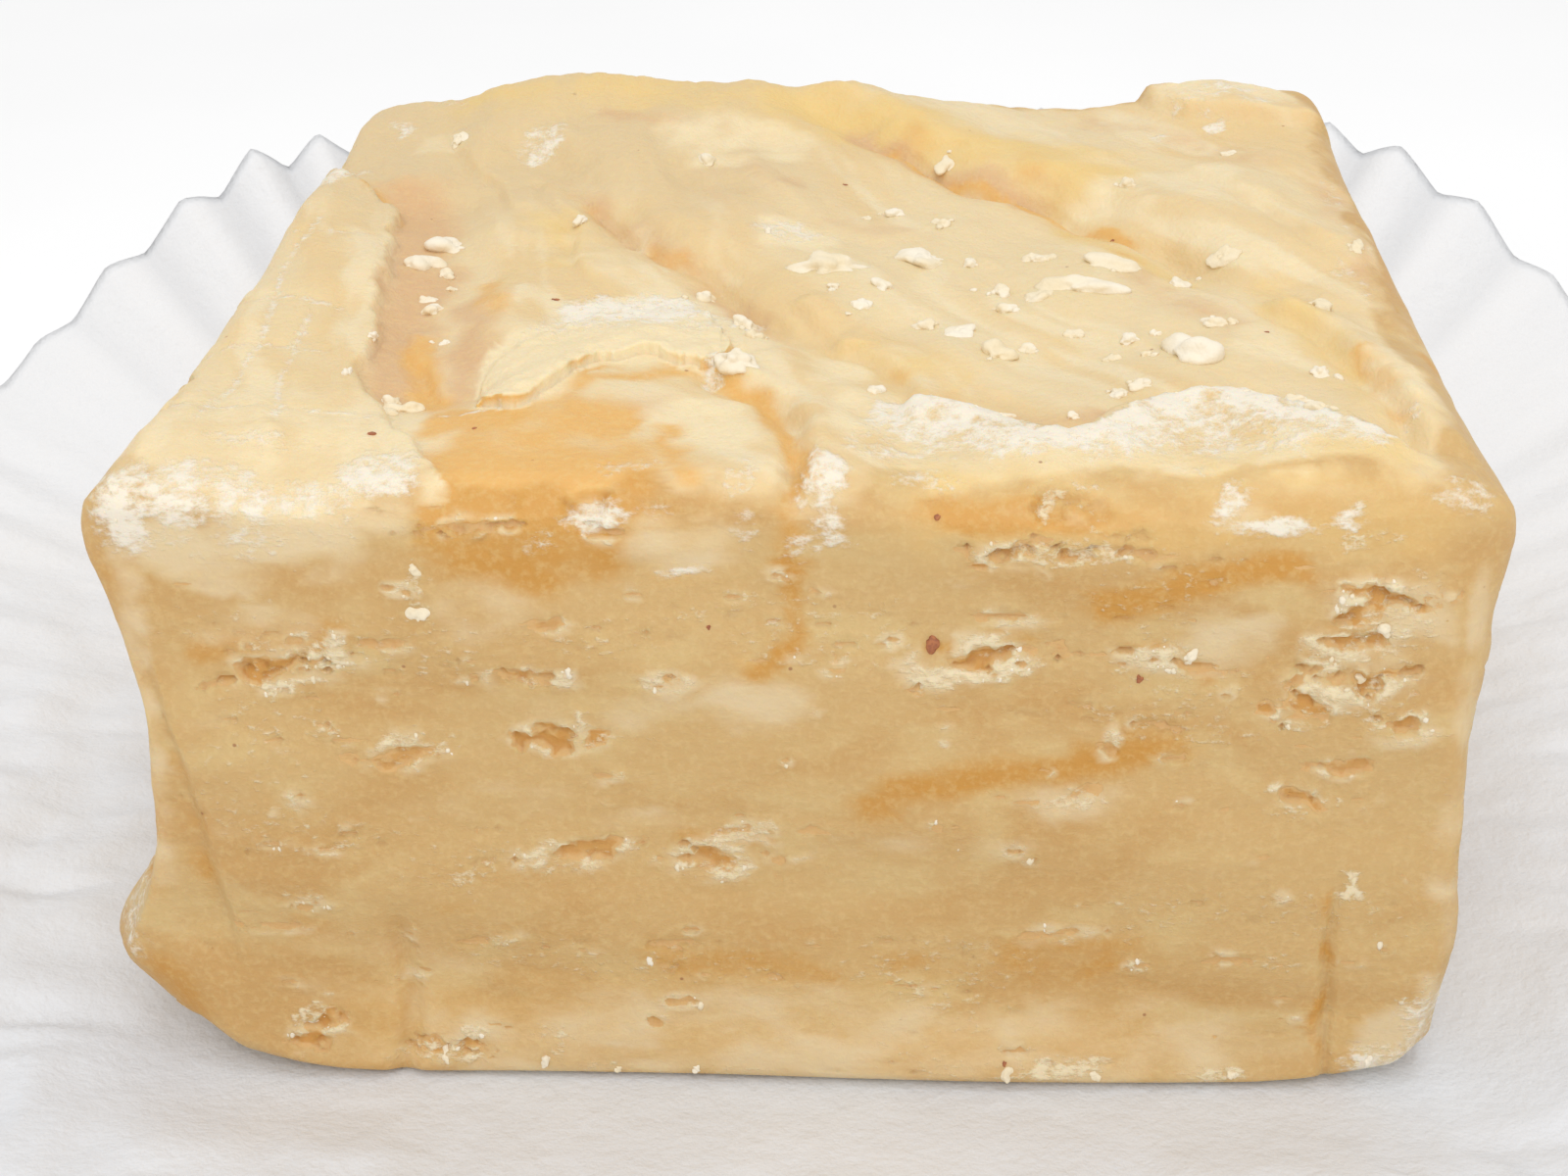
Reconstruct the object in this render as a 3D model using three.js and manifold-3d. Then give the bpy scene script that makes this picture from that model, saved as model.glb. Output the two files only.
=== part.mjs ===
// A square slab of peanut butter fudge resting in an opened, fluted white paper case.
// Millimetres, +Z up. The origin is the middle of the paper's underside, +X runs to the
// right along the cut front face and +Y runs back from it.
import * as THREE from "three";
import { mergeVertices } from "three/addons/utils/BufferGeometryUtils.js";
import Module from "manifold-3d";

const wasm = await Module();
wasm.setup();

// Driving dimensions of the slab
const WIDTH = 60.6;
const DEPTH = 57.5;
const HEIGHT = 31.6;
const EDGE_RADIUS = { top: 2.1, base: 0.35 };
const FRONT_CORNER_RADIUS = { left: 3.4, right: 2.6, reach: 5 };

// Driving dimensions of the paper case
const PAPER = 0.3;
const PAPER_GAP = 0.1;
const SHEET_RADIUS = 76;
const FOLD = { x: 32.2, y: 30.9, squareness: 12 };
const FLUTES = 76;
// The flutes are pressed out flatter where the case lies open than where its wall stands.
const FLUTE_HEIGHT = { open: 0.7, standing: 1.9 };
const FLUTE_GROWTH = 1.6;
const WALL_BEND = 1.15;
const WALL_SHARES = [0, 0.12, 0.3, 0.55, 0.8, 1];
const RIM = { low: 6, high: 19.2, sag: 3.2 };
// Where the rim climbs from low to high, in degrees round from +X
const CLIMB = { right: [38, 58], left: [151, 128], middle: 86, sagWidth: 26 };

// Grid steps of the slab's faces
const STEPS = { x: 40, y: 36, z: 18 };
const EDGE_CROWDING = 0.8;

const BASE_Z = PAPER + PAPER_GAP;

// Folds that the fudge took as it was turned out and spread. Each follows a trail across
// the top, its groove on the trail and its crest on the left of it.
const FOLDS = [
  {
    trail: [[-4, 26], [1.6, 20.6], [6.4, 15], [12, 10], [17.6, 3.6], [21, -5]],
    crest: 1.3, lee: 3.0, slope: 6.5, groove: 0.5,
  },
  {
    trail: [[-19, 20], [-14, 11], [-9, 3], [-5, -3], [0, -12]],
    crest: 0.8, lee: 2.8, slope: 6, groove: 0.45,
  },
  {
    trail: [[-5, -14.5], [-2.2, -17.5], [-0.7, -21], [0.3, -29]],
    crest: 0.6, lee: 1.2, slope: 3, groove: 0.5,
  },
  {
    trail: [[0.5, -11.5], [3.2, -13.5], [4.4, -17], [4.8, -22]],
    crest: 0.4, lee: 1.0, slope: 3, groove: 0.2,
  },
  {
    trail: [[22, -6], [25, -13], [26.8, -19], [27.4, -25]],
    crest: 0.7, lee: 1.2, slope: 2.5, groove: 0.35,
  },
  {
    trail: [[18.6, 32], [19, 27], [20.6, 23.6], [25, 22], [32, 21.6]],
    crest: 0.9, lee: 0.7, slope: 12, groove: 0,
  },
];
// The long hollow beside the pale skin on the left
const TROUGH = { trail: [[-25, 13], [-21.6, 5], [-20, -4], [-19, -12], [-17, -21]], depth: 1.0, width: 3.0 };
// The pale skin on the left stands above the hollow, on the right of this trail, and thins out in front.
const SKIN = {
  trail: [[-29.4, 15], [-24, 8], [-23.1, 1], [-22.1, -7], [-20.6, -17], [-16, -26]],
  rise: 0.7,
  edge: 0.8,
  front: [-28, -23],
};
// The torn lip along the front edge, on the right of this trail
const LIP = {
  trail: [[3, -18], [8, -19.5], [12, -22.5], [15, -20], [20, -18.3], [24, -22], [28, -25.5]],
  rise: 0.6,
  edge: 1.0,
  reach: 4,
};
// Long swells of the top and of the cut sides: height, and turn in radians for each millimetre both ways
const TOP_SWELLS = [
  { height: 0.25, first: 0.21, second: 0.13 },
  { height: 0.15, first: 0.5, second: -0.35 },
];
const SIDE_SWELLS = [
  { height: 0.2, first: 0.18, second: 0.4 },
  { height: 0.08, first: 0.1, second: 0.9 },
];
// Humps and dips of the top: place, height and radius
const HUMPS = [
  { x: -18, y: 27, rise: 2.4, radius: 9 },
  { x: 25, y: 27, rise: 0.5, radius: 6 },
  { x: -4, y: 28, rise: 1.4, radius: 9 },
  { x: 5, y: 3, rise: -0.6, radius: 12 },
  { x: 11, y: -12, rise: -0.5, radius: 8 },
];
// The thin flake of crust that has lifted at the front of the top
const FLAKE = {
  outline: [
    [-15.2, -19.6], [-15.6, -13], [-13, -9], [-11, -5.2], [-8.2, -3.9], [-5.8, -4.6], [-4.7, -8],
    [-3.6, -12.2], [-4.4, -14.3], [-6.4, -14.4], [-7.8, -13.3], [-10, -14.8], [-11.4, -17], [-12.9, -20],
  ],
  thickness: 0.7,
  tilt: 3,
  hinge: { y: -3, z: 0.2 },
};
// Tears in the front face: middle, length, height and depth
const TEARS = [
  { x: 9.3, z: 29.0, length: 3.0, height: 1.3, depth: 1.4 },
  { x: 13.6, z: 28.8, length: 3.6, height: 0.9, depth: 0.9 },
  { x: 8.2, z: 23.1, length: 5.0, height: 1.2, depth: 1.4, turn: 14 },
  { x: 16.4, z: 23.4, length: 4.4, height: 0.8, depth: 0.8, turn: -8 },
  { x: 25.8, z: 26.6, length: 4.4, height: 1.5, depth: 1.3 },
  { x: 24.6, z: 22.8, length: 4.2, height: 1.6, depth: 1.3 },
  { x: 22.3, z: 21.2, length: 2.6, height: 1.4, depth: 1.0 },
  { x: 26.8, z: 20.2, length: 2.6, height: 1.1, depth: 0.9 },
  { x: 22.8, z: 16.0, length: 3.8, height: 0.8, depth: 0.8 },
  { x: -3.4, z: 12.8, length: 4.2, height: 1.4, depth: 0.9 },
  { x: -10.6, z: 12.9, length: 4.2, height: 1.0, depth: 0.8, turn: 10 },
  { x: -10.8, z: 19.2, length: 4.2, height: 1.0, depth: 1.0 },
  { x: -18.0, z: 18.3, length: 3.4, height: 0.9, depth: 0.7 },
  { x: -23.2, z: 22.8, length: 5.0, height: 1.6, depth: 1.1, turn: 12 },
  { x: -12.2, z: 22.5, length: 3.2, height: 0.9, depth: 0.8 },
  { x: -24.0, z: 3.0, length: 3.0, height: 1.6, depth: 1.0, turn: 30 },
  { x: -17.0, z: 1.8, length: 3.2, height: 1.0, depth: 0.8 },
];
// Upright scores in the front face: place, depth, width and how high they reach
const SCORES = [
  { x: -19.4, depth: 0.5, width: 0.9, top: 11 },
  { x: 24.6, depth: 0.4, width: 0.9, top: 13 },
];
const SCORE_FADE = 4;
// The lip of fudge that spreads from the foot of the left side
const FOOT = { y: -24, z: 5.9, out: 4.2, along: 6, up: 3.6 };
// How far the sides swell at the front corners under the top, and the front at its foot
const BROW = { z: 29, up: 3.2, along: 14, left: 1.1, right: 0.9 };
const FLARE = { out: 0.6, up: 2.5 };
// Heights over which the sides' relief comes in above the base
const RELIEF_START = [-0.7, 0.9];

// A smooth step from 0 at one value to 1 at another, which may be the lower
const ramp = (from, to, t) => THREE.MathUtils.smoothstep((t - from) / (to - from), 0, 1);
const bell = (t, width) => Math.exp(-(t * t) / (width * width));
// Like a bell, with a sharper top
const peak = (t, width) => Math.exp(-(Math.abs(t / width) ** 1.5));

function trailOf(points) {
  const curve = new THREE.SplineCurve(points.map(([x, y]) => new THREE.Vector2(x, y)));
  return curve.getPoints(8 * (points.length - 1));
}

// Where a place lies by a trail: its distance off it, positive on the left of the way the
// trail runs, and how far along it is, from 0 to 1.
function beside(trail, x, y) {
  let best = { distance: Infinity, off: 0, along: 0 };
  for (let i = 1; i < trail.length; i++) {
    const a = trail[i - 1];
    const b = trail[i];
    const run = { x: b.x - a.x, y: b.y - a.y };
    const length2 = run.x * run.x + run.y * run.y;
    const share = THREE.MathUtils.clamp(((x - a.x) * run.x + (y - a.y) * run.y) / length2, 0, 1);
    const gap = { x: x - a.x - share * run.x, y: y - a.y - share * run.y };
    const distance = Math.hypot(gap.x, gap.y);
    if (distance < best.distance) {
      const left = Math.sign(run.x * gap.y - run.y * gap.x);
      best = { distance, off: left * distance, along: (i - 1 + share) / (trail.length - 1) };
    }
  }
  return best;
}

const fadeEnds = (along, share) => ramp(0, share, along) * ramp(0, share, 1 - along);

// A fold's height: a groove on its trail, a steep lee side and a long slope behind the crest
function foldHeight(fold, x, y) {
  const { off, along } = beside(fold.trail, x, y);
  const wave = off < fold.lee ? ramp(0, fold.lee, off) : bell(off - fold.lee, fold.slope);
  return fadeEnds(along, 0.12) * (fold.crest * wave - fold.groove * bell(off, fold.lee / 2));
}

function troughHeight(x, y) {
  const { off, along } = beside(TROUGH.trail, x, y);
  return -TROUGH.depth * bell(off, TROUGH.width) * fadeEnds(along, 0.15);
}

function skinHeight(x, y) {
  const { off } = beside(SKIN.trail, x, y);
  return SKIN.rise * ramp(0, SKIN.edge, -off) * ramp(...SKIN.front, y);
}

function lipHeight(x, y) {
  const { off, along } = beside(LIP.trail, x, y);
  const band = off < 0 ? ramp(0, LIP.edge, -off) * bell(Math.max(0, -off - LIP.edge), LIP.reach) : 0;
  return LIP.rise * band * fadeEnds(along, 0.1);
}

for (const shape of [...FOLDS, TROUGH, SKIN, LIP]) shape.trail = trailOf(shape.trail);

function swell(waves, first, second, phase) {
  return waves.reduce((sum, w) => sum + w.height * Math.sin(w.first * first + w.second * second + phase), 0);
}

// How far the top stands above its nominal height
function topRelief(x, y) {
  let height = swell(TOP_SWELLS, x, y, 0);
  for (const hump of HUMPS) height += hump.rise * bell(Math.hypot(x - hump.x, y - hump.y), hump.radius);
  for (const fold of FOLDS) height += foldHeight(fold, x, y);
  return height + troughHeight(x, y) + skinHeight(x, y) + lipHeight(x, y);
}

// The front swells at its foot, and has two upright scores near its ends, left by the knife.
function frontRelief(x, z) {
  const flare = FLARE.out * bell(z, FLARE.up);
  let scores = 0;
  for (const s of SCORES) scores += s.depth * bell(x - s.x, s.width) * ramp(s.top, s.top - SCORE_FADE, z);
  return swell(SIDE_SWELLS, x, z, 0) + flare - scores;
}

function leftRelief(y, z) {
  const foot = FOOT.out * bell(y - FOOT.y, FOOT.along) * peak(z - FOOT.z, FOOT.up);
  return swell(SIDE_SWELLS, y, z, 2) + foot + brow(y, z, BROW.left);
}

function rightRelief(y, z) {
  return swell(SIDE_SWELLS, y, z, 3) + brow(y, z, BROW.right);
}

// The sides swell just under the top, most of all at the front corners.
function brow(y, z, out) {
  return out * bell(z - BROW.z, BROW.up) * bell(y + DEPTH / 2, BROW.along);
}

// The radius of the slab's edges: wider at the top, and wider still at the worn front corners
function edgeRadius(x, y, z) {
  const up = z / HEIGHT;
  const corner = bell(z, FRONT_CORNER_RADIUS.reach) * bell(y + DEPTH / 2, FRONT_CORNER_RADIUS.reach);
  const left = FRONT_CORNER_RADIUS.left * bell(x + WIDTH / 2, FRONT_CORNER_RADIUS.reach);
  const right = FRONT_CORNER_RADIUS.right * bell(x - WIDTH / 2, FRONT_CORNER_RADIUS.reach);
  return THREE.MathUtils.lerp(EDGE_RADIUS.base, EDGE_RADIUS.top, up) + corner * (left + right);
}

// A place on the plain box, moved onto the rounded, uneven slab
function onSlab(x, y, z) {
  const half = new THREE.Vector3(WIDTH / 2, DEPTH / 2, HEIGHT / 2);
  const place = new THREE.Vector3(x, y, z - HEIGHT / 2);
  const radius = edgeRadius(x, y, z);
  const core = half.clone().subScalar(radius);
  const inner = place.clone().clamp(core.clone().negate(), core);
  const out = place.clone().sub(inner).normalize();
  const moved = inner.addScaledVector(out, radius);
  moved.z += HEIGHT / 2;
  const upward = ramp(0.2, 0.9, out.z);
  const low = ramp(...RELIEF_START, z);
  const front = Math.max(0, -out.y) ** 2 * frontRelief(moved.x, moved.z);
  const back = Math.max(0, out.y) ** 2 * swell(SIDE_SWELLS, moved.x, moved.z, 1);
  const left = Math.max(0, -out.x) ** 2 * leftRelief(moved.y, moved.z);
  const right = Math.max(0, out.x) ** 2 * rightRelief(moved.y, moved.z);
  moved.x += low * (right - left);
  moved.y += low * (back - front);
  moved.z += upward * topRelief(moved.x, moved.y);
  return moved;
}

// Steps from -half to half that crowd towards both ends
function crowded(count, half) {
  const bend = (Math.PI / 2) * EDGE_CROWDING;
  const shares = Array.from({ length: count + 1 }, (_, i) => (2 * i) / count - 1);
  return shares.map((share) => (half * Math.sin(bend * share)) / Math.sin(bend));
}

function closedGeometry(points, triangles) {
  const geometry = new THREE.BufferGeometry();
  const numbers = points.flatMap((p) => [p.x, p.y, p.z]);
  geometry.setAttribute("position", new THREE.Float32BufferAttribute(numbers, 3));
  geometry.setIndex(triangles);
  return geometry;
}

// The slab's closed surface: a grid over the top, rows down its four sides and a flat base
function slabGeometry() {
  const xs = crowded(STEPS.x, WIDTH / 2);
  const ys = crowded(STEPS.y, DEPTH / 2);
  const zs = crowded(STEPS.z, HEIGHT / 2).map((z) => z + HEIGHT / 2);
  const points = [];
  const triangles = [];
  const add = (x, y, z) => points.push(onSlab(x, y, z)) - 1;
  const quad = (a, b, c, d) => triangles.push(a, b, c, a, c, d);

  const top = xs.map((x) => ys.map((y) => add(x, y, HEIGHT)));
  for (let i = 0; i < STEPS.x; i++) {
    for (let j = 0; j < STEPS.y; j++) quad(top[i + 1][j], top[i + 1][j + 1], top[i][j + 1], top[i][j]);
  }
  const rim = [
    ...xs.slice(0, -1).map((x, i) => [i, 0]),
    ...ys.slice(0, -1).map((y, j) => [STEPS.x, j]),
    ...xs.slice(1).map((x, i) => [STEPS.x - i, STEPS.y]),
    ...ys.slice(1).map((y, j) => [0, STEPS.y - j]),
  ];
  let above = rim.map(([i, j]) => top[i][j]);
  for (let k = STEPS.z - 1; k >= 0; k--) {
    const row = rim.map(([i, j]) => add(xs[i], ys[j], zs[k]));
    row.forEach((here, n) => {
      const next = (n + 1) % row.length;
      quad(here, row[next], above[next], above[n]);
    });
    above = row;
  }
  const middle = points.push(new THREE.Vector3(0, 0, 0)) - 1;
  above.forEach((here, n) => triangles.push(above[(n + 1) % above.length], here, middle));
  return closedGeometry(points, triangles);
}

// The lifted flake, tipped up about its back edge so that its front overhangs
function flakeGeometry() {
  const shape = new THREE.Shape();
  const [first, ...rest] = FLAKE.outline.map(([x, y]) => new THREE.Vector2(x, y - FLAKE.hinge.y));
  shape.moveTo(first.x, first.y);
  shape.splineThru([...rest, first]);
  const options = { depth: FLAKE.thickness, bevelEnabled: false, curveSegments: 3 };
  const geometry = new THREE.ExtrudeGeometry(shape, options);
  geometry.rotateX(-THREE.MathUtils.degToRad(FLAKE.tilt));
  const level = HEIGHT + topRelief(-8, FLAKE.hinge.y) - FLAKE.thickness / 2;
  return geometry.translate(0, FLAKE.hinge.y, level + FLAKE.hinge.z);
}

// One tear: a flat lens sunk half into the front face
function tearGeometry(tear) {
  const geometry = new THREE.SphereGeometry(0.5, 8, 5);
  geometry.scale(tear.length, 2 * tear.depth, tear.height);
  geometry.rotateY(-THREE.MathUtils.degToRad(tear.turn ?? 0));
  return geometry.translate(tear.x, -DEPTH / 2 - frontRelief(tear.x, tear.z), tear.z);
}

function solidOf(geometry) {
  const plain = geometry.clone();
  plain.deleteAttribute("normal");
  plain.deleteAttribute("uv");
  const merged = mergeVertices(plain, 1e-4);
  const vertProperties = new Float32Array(merged.attributes.position.array);
  const triVerts = new Uint32Array(merged.index.array);
  return new wasm.Manifold(new wasm.Mesh({ numProp: 3, vertProperties, triVerts }));
}

function geometryOf(solid) {
  const mesh = solid.getMesh();
  const geometry = new THREE.BufferGeometry();
  geometry.setAttribute("position", new THREE.BufferAttribute(mesh.vertProperties, 3));
  geometry.setIndex(new THREE.BufferAttribute(mesh.triVerts, 1));
  geometry.computeVertexNormals();
  return geometry;
}

function fudgeGeometry() {
  let solid = solidOf(slabGeometry()).add(solidOf(flakeGeometry()));
  for (const tear of TEARS) solid = solid.subtract(solidOf(tearGeometry(tear)));
  return geometryOf(solid);
}

// The distance out to the crease where the paper turns up round the slab's foot
function foldRadius(angle) {
  const n = FOLD.squareness;
  return (Math.abs(Math.cos(angle) / FOLD.x) ** n + Math.abs(Math.sin(angle) / FOLD.y) ** n) ** (-1 / n);
}

// How far the wall stands up: 0 in front and at the sides, where the case was opened, and 1 behind
function climb(degrees) {
  return ramp(...CLIMB.right, degrees) * ramp(...CLIMB.left, degrees);
}

function rimHeight(degrees) {
  const sag = RIM.sag * bell(degrees - CLIMB.middle, CLIMB.sagWidth);
  return THREE.MathUtils.lerp(RIM.low, RIM.high - sag, climb(degrees));
}

function fluteHeight(degrees) {
  return THREE.MathUtils.lerp(FLUTE_HEIGHT.open, FLUTE_HEIGHT.standing, climb(degrees));
}

// A place on the wall's upper face, at a share of the way from the crease to the rim
function onWall(flute, share) {
  const angle = (Math.PI * flute) / FLUTES;
  const degrees = THREE.MathUtils.radToDeg(angle);
  const crease = foldRadius(angle);
  const length = SHEET_RADIUS - crease;
  const height = rimHeight(degrees);
  const reach = crease + share * Math.sqrt(length * length - height * height);
  const crest = flute % 2 ? fluteHeight(degrees) * share ** FLUTE_GROWTH : 0;
  const level = PAPER + height * share ** WALL_BEND + crest;
  return new THREE.Vector3(reach * Math.cos(angle), reach * Math.sin(angle), level);
}

// The paper case: a thin sheet with a flat base and a pleated wall, closed at its rim
function caseGeometry() {
  const points = [new THREE.Vector3(0, 0, PAPER), new THREE.Vector3(0, 0, 0)];
  const triangles = [];
  const around = Array.from({ length: 2 * FLUTES }, (_, flute) => flute);
  const rings = WALL_SHARES.map((share) =>
    around.map((flute) => {
      const upper = onWall(flute, share);
      const lower = upper.clone().setZ(upper.z - PAPER);
      return { upper: points.push(upper) - 1, lower: points.push(lower) - 1 };
    }),
  );
  around.forEach((n) => {
    const next = (n + 1) % around.length;
    triangles.push(0, rings[0][n].upper, rings[0][next].upper);
    triangles.push(1, rings[0][next].lower, rings[0][n].lower);
    for (let k = 1; k < rings.length; k++) {
      const [a, b, c, d] = [rings[k - 1][n], rings[k][n], rings[k][next], rings[k - 1][next]];
      triangles.push(a.upper, b.upper, c.upper, a.upper, c.upper, d.upper);
      triangles.push(a.lower, c.lower, b.lower, a.lower, d.lower, c.lower);
    }
    const edge = rings[rings.length - 1];
    triangles.push(edge[n].upper, edge[n].lower, edge[next].lower);
    triangles.push(edge[n].upper, edge[next].lower, edge[next].upper);
  });
  return closedGeometry(points, triangles);
}

const fudgeMaterial = new THREE.MeshStandardMaterial({ color: 0xdcb77f, roughness: 0.55, metalness: 0 });
const paperMaterial = new THREE.MeshStandardMaterial({ color: 0xf1f0ee, roughness: 0.8, metalness: 0 });

const fudge = new THREE.Mesh(fudgeGeometry(), fudgeMaterial);
fudge.name = "fudge_slab";
fudge.position.z = BASE_Z;

const paperCase = new THREE.Mesh(caseGeometry(), paperMaterial);
paperCase.name = "paper_case";

const part = new THREE.Group();
part.add(paperCase, fudge);

export default part;
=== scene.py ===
# Peanut butter fudge in an opened paper case: the looks of its pieces, with floor, light and camera.
import itertools
import math

import bmesh
import bpy
import numpy as np
from mathutils import Matrix, Vector


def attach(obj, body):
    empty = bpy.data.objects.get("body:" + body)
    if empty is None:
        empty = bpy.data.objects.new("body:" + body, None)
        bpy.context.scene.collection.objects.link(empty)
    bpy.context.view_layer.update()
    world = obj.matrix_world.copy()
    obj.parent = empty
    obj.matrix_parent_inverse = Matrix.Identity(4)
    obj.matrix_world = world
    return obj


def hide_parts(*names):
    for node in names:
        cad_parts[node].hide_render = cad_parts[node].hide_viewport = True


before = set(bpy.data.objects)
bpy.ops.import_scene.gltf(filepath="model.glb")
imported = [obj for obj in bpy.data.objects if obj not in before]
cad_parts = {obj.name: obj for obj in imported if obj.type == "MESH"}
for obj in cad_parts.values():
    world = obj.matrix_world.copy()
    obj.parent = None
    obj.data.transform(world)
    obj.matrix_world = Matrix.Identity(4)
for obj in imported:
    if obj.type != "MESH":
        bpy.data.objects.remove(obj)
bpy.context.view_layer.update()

# Shapes are worked out in millimetres, in the part's own frame, and made in metres
MM = 0.001

# The slab's driving dimensions, and the fineness of its mesh
WIDTH = 60.6
DEPTH = 57.5
HEIGHT = 31.6
HALF = np.array([WIDTH / 2, DEPTH / 2, HEIGHT / 2])
EDGE_RADIUS = {"top": 2.1, "base": 0.35}
CORNER_RADIUS = {"left": 3.4, "right": 2.6, "reach": 5.0}
BLUNT = {"less": 1.0, "reach": 9.0, "up": (12, 28)}
BASE_Z = 0.4
STEPS = {"x": 272, "y": 212, "z": 140}
EDGE_CROWDING = 0.62
SLAB_TRIANGLES = 190000

# The paper's driving dimensions, and the fineness of its mesh
PAPER = 0.3
SHEET_RADIUS = 76.0
FOLD = {"x": 32.2, "y": 30.9, "squareness": 12}
FLUTES = 76
FLUTE_STEPS = 12
FLUTE_SHARPNESS = 0.97
FLUTE_HEIGHT = {"open": 0.7, "standing": 1.9}
FLUTE_GROWTH = 1.6
WALL_BEND = 1.15
WALL_RINGS = {"count": 44, "crowding": 1.1}
BASE_RINGS = [-0.5, -0.2, -0.05]
RIM = {"low": 6.0, "high": 19.2, "sag": 3.2}
CLIMB = {"right": (38, 58), "left": (151, 128), "middle": 86, "sag_width": 26}

# Folds of the top: groove's trail, height and distance of the crest on its left, far reach, groove's depth
FOLDS = [
    ([(-4, 26), (1.6, 20.6), (6.4, 15), (12, 10), (17.6, 3.6), (21, -5)], 1.3, 3, 6.5, 0.5),
    ([(-19, 20), (-14, 11), (-9, 3), (-5, -3), (0, -12)], 0.8, 2.8, 6, 0.45),
    ([(-5, -14.5), (-2.2, -17.5), (-0.7, -21), (0.3, -29)], 0.6, 1.2, 3, 0.5),
    ([(0.5, -11.5), (3.2, -13.5), (4.4, -17), (4.8, -22)], 0.4, 1, 3, 0.2),
    ([(22, -6), (25, -13), (26.8, -19), (27.4, -25)], 0.7, 1.2, 2.5, 0.35),
    ([(18.6, 32), (19, 27), (20.6, 23.6), (25, 22), (32, 21.6)], 0.9, 0.7, 12, 0),
]
# Smaller creases, in the same form
CREASES = [
    ([(-17, 14), (-15, 8), (-13.5, 2), (-12, -3)], 0.25, 0.7, 1.6, 0.15),
    ([(-24, 21), (-20, 14), (-18, 8)], 0.25, 0.7, 1.8, 0.15),
    ([(20, 14), (23, 7), (26.5, -1)], 0.3, 1, 2, 0.15),
    ([(-20.5, -8), (-19.5, -13), (-17.5, -18)], 0.35, 0.8, 1, 0.1),
    ([(-7, 16), (-4, 11), (0, 6), (3, 2)], 0.2, 1.2, 3, 0.1),
    ([(-1.5, -7), (0.5, -10), (1, -12)], 0.3, 0.6, 1.5, 0.15),
    ([(1.6, 20.6), (6.4, 15), (12, 10), (17.6, 3.6), (20, -1)], 0.3, 0.6, 1.2, 0.3),
    ([(-14, 11), (-9, 3), (-5, -3), (-1, -10)], 0.3, 0.6, 1.2, 0.25),
]
# The hollow along the raised skin, the edge of the skin, and the torn lip
TROUGH = {"trail": [(-25, 13), (-21.6, 5), (-20, -4), (-19, -12), (-17, -21)], "depth": 1.0, "width": 3.0}
SKIN = {
    "trail": [(-29.4, 15), (-24, 8), (-23.1, 1), (-22.1, -7), (-20.6, -17), (-16, -26)],
    "rise": 0.7,
    "edge": 0.35,
    "fades": (-28, -23),
}
LIP = {
    "trail": [(3, -18), (8, -19.5), (12, -22.5), (15, -20), (20, -18.3), (24, -22), (28, -25.5)],
    "rise": 0.6,
    "edge": 0.6,
    "reach": 4,
    "frost_reach": 2.6,
    "frost_from": (-27.4, -24.4),
}
# Long waves of the top and of the sides: height, and how fast each runs along the two axes
TOP_SWELLS = [(0.25, 0.21, 0.13), (0.15, 0.5, -0.35)]
SIDE_SWELLS = [(0.2, 0.18, 0.4), (0.08, 0.1, 0.9)]
# Broad humps and hollows of the top: across, back, height and radius
HUMPS = [
    (-18, 27, 2.4, 9), (25, 27, 0.5, 6), (-4, 28, 1.4, 9), (5, 3, -0.6, 12), (11, -12, -0.5, 8),
]
# The lip at the foot of the left side, the bulge under the top's edge and the flare of the front's base
FOOT = {"y": -24, "z": 5.9, "out": 4.2, "along": 6, "up": 3.6}
BROW = {"z": 29, "up": 3.2, "along": 14, "left": 1.1, "right": 0.9}
FLARE = {"out": 0.6, "up": 2.5}
# The crease where the cut front turns into the left side: across and up
EDGE_CREASE = {
    "trail": [(-29.8, 27), (-29.1, 22), (-28.3, 18), (-27.3, 14), (-27, 10), (-26.9, 7), (-27.6, 4)],
    "deep": 0.6,
    "edge": 0.9,
}
# How deep the top's edges have crumbled
EDGE_CHIP = 0.6
# Rough, crackled patches of the top: across, back, half sizes and strength
TOP_ROUGH = [
    (-14, 4, 4, 4.5, 1), (-16.5, -5, 2, 5, 0.8), (-12, -2, 3, 2, 0.8), (-20, 16, 3, 4, 0.6),
    (-28, 12, 2, 4, 0.8),
]
# How high the crackle stands
CRACKLE = 0.11
# Scores down the front: across, depth, width and top
SCORES = [
    (-19.4, 0.5, 0.9, 11), (24.6, 0.4, 0.5, 13),
]
# The crumbly grain of torn and frosted places: sizes with their seeds, and its height
GRAIN = {"coarse": (0.8, 21), "fine": (0.45, 22), "fine_share": 0.6, "level": 0.42, "height": 0.16}

# Fine cracks in the pale skin on the left of the top
SKIN_CRACKS = [
    [(-30, 2.6), (-27, 2.3), (-24, 3)], [(-30, -7.2), (-27, -7), (-23.5, -8)],
    [(-30, -14), (-27, -13), (-23, -13.6)], [(-30, -20.5), (-25, -20.8), (-20.5, -21.5)],
    [(-27.8, 6), (-28, -3), (-27, -12), (-27.5, -24)], [(-25.2, -8), (-25, -15), (-24, -23)],
]
CRACK = {"deep": 0.1, "width": 0.32, "frost": 0.55, "frost_width": 0.3}

# The lifted flake: its front edge, its back edge and how it stands off the slab
FLAKE = {
    "front": [
        (-15.2, -19.6), (-12.9, -20), (-11.4, -17), (-10, -14.8),
        (-7.8, -13.3), (-6.4, -14.4), (-4.4, -14.3), (-3.6, -12.2),
    ],
    "back": [
        (-15.3, -19), (-15.6, -13), (-13, -9), (-11, -5.2),
        (-8.2, -3.9), (-5.8, -4.6), (-4.7, -8), (-3.7, -11.8),
    ],
    "lift": 0.52,
    "thickness": 0.44,
    "above": 0.06,
    "sunk": 0.4,
    "rounding": 0.14,
    "root": 0.3,
    "grain": (0.8, 88),
    "steps": (150, 60),
}

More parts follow.
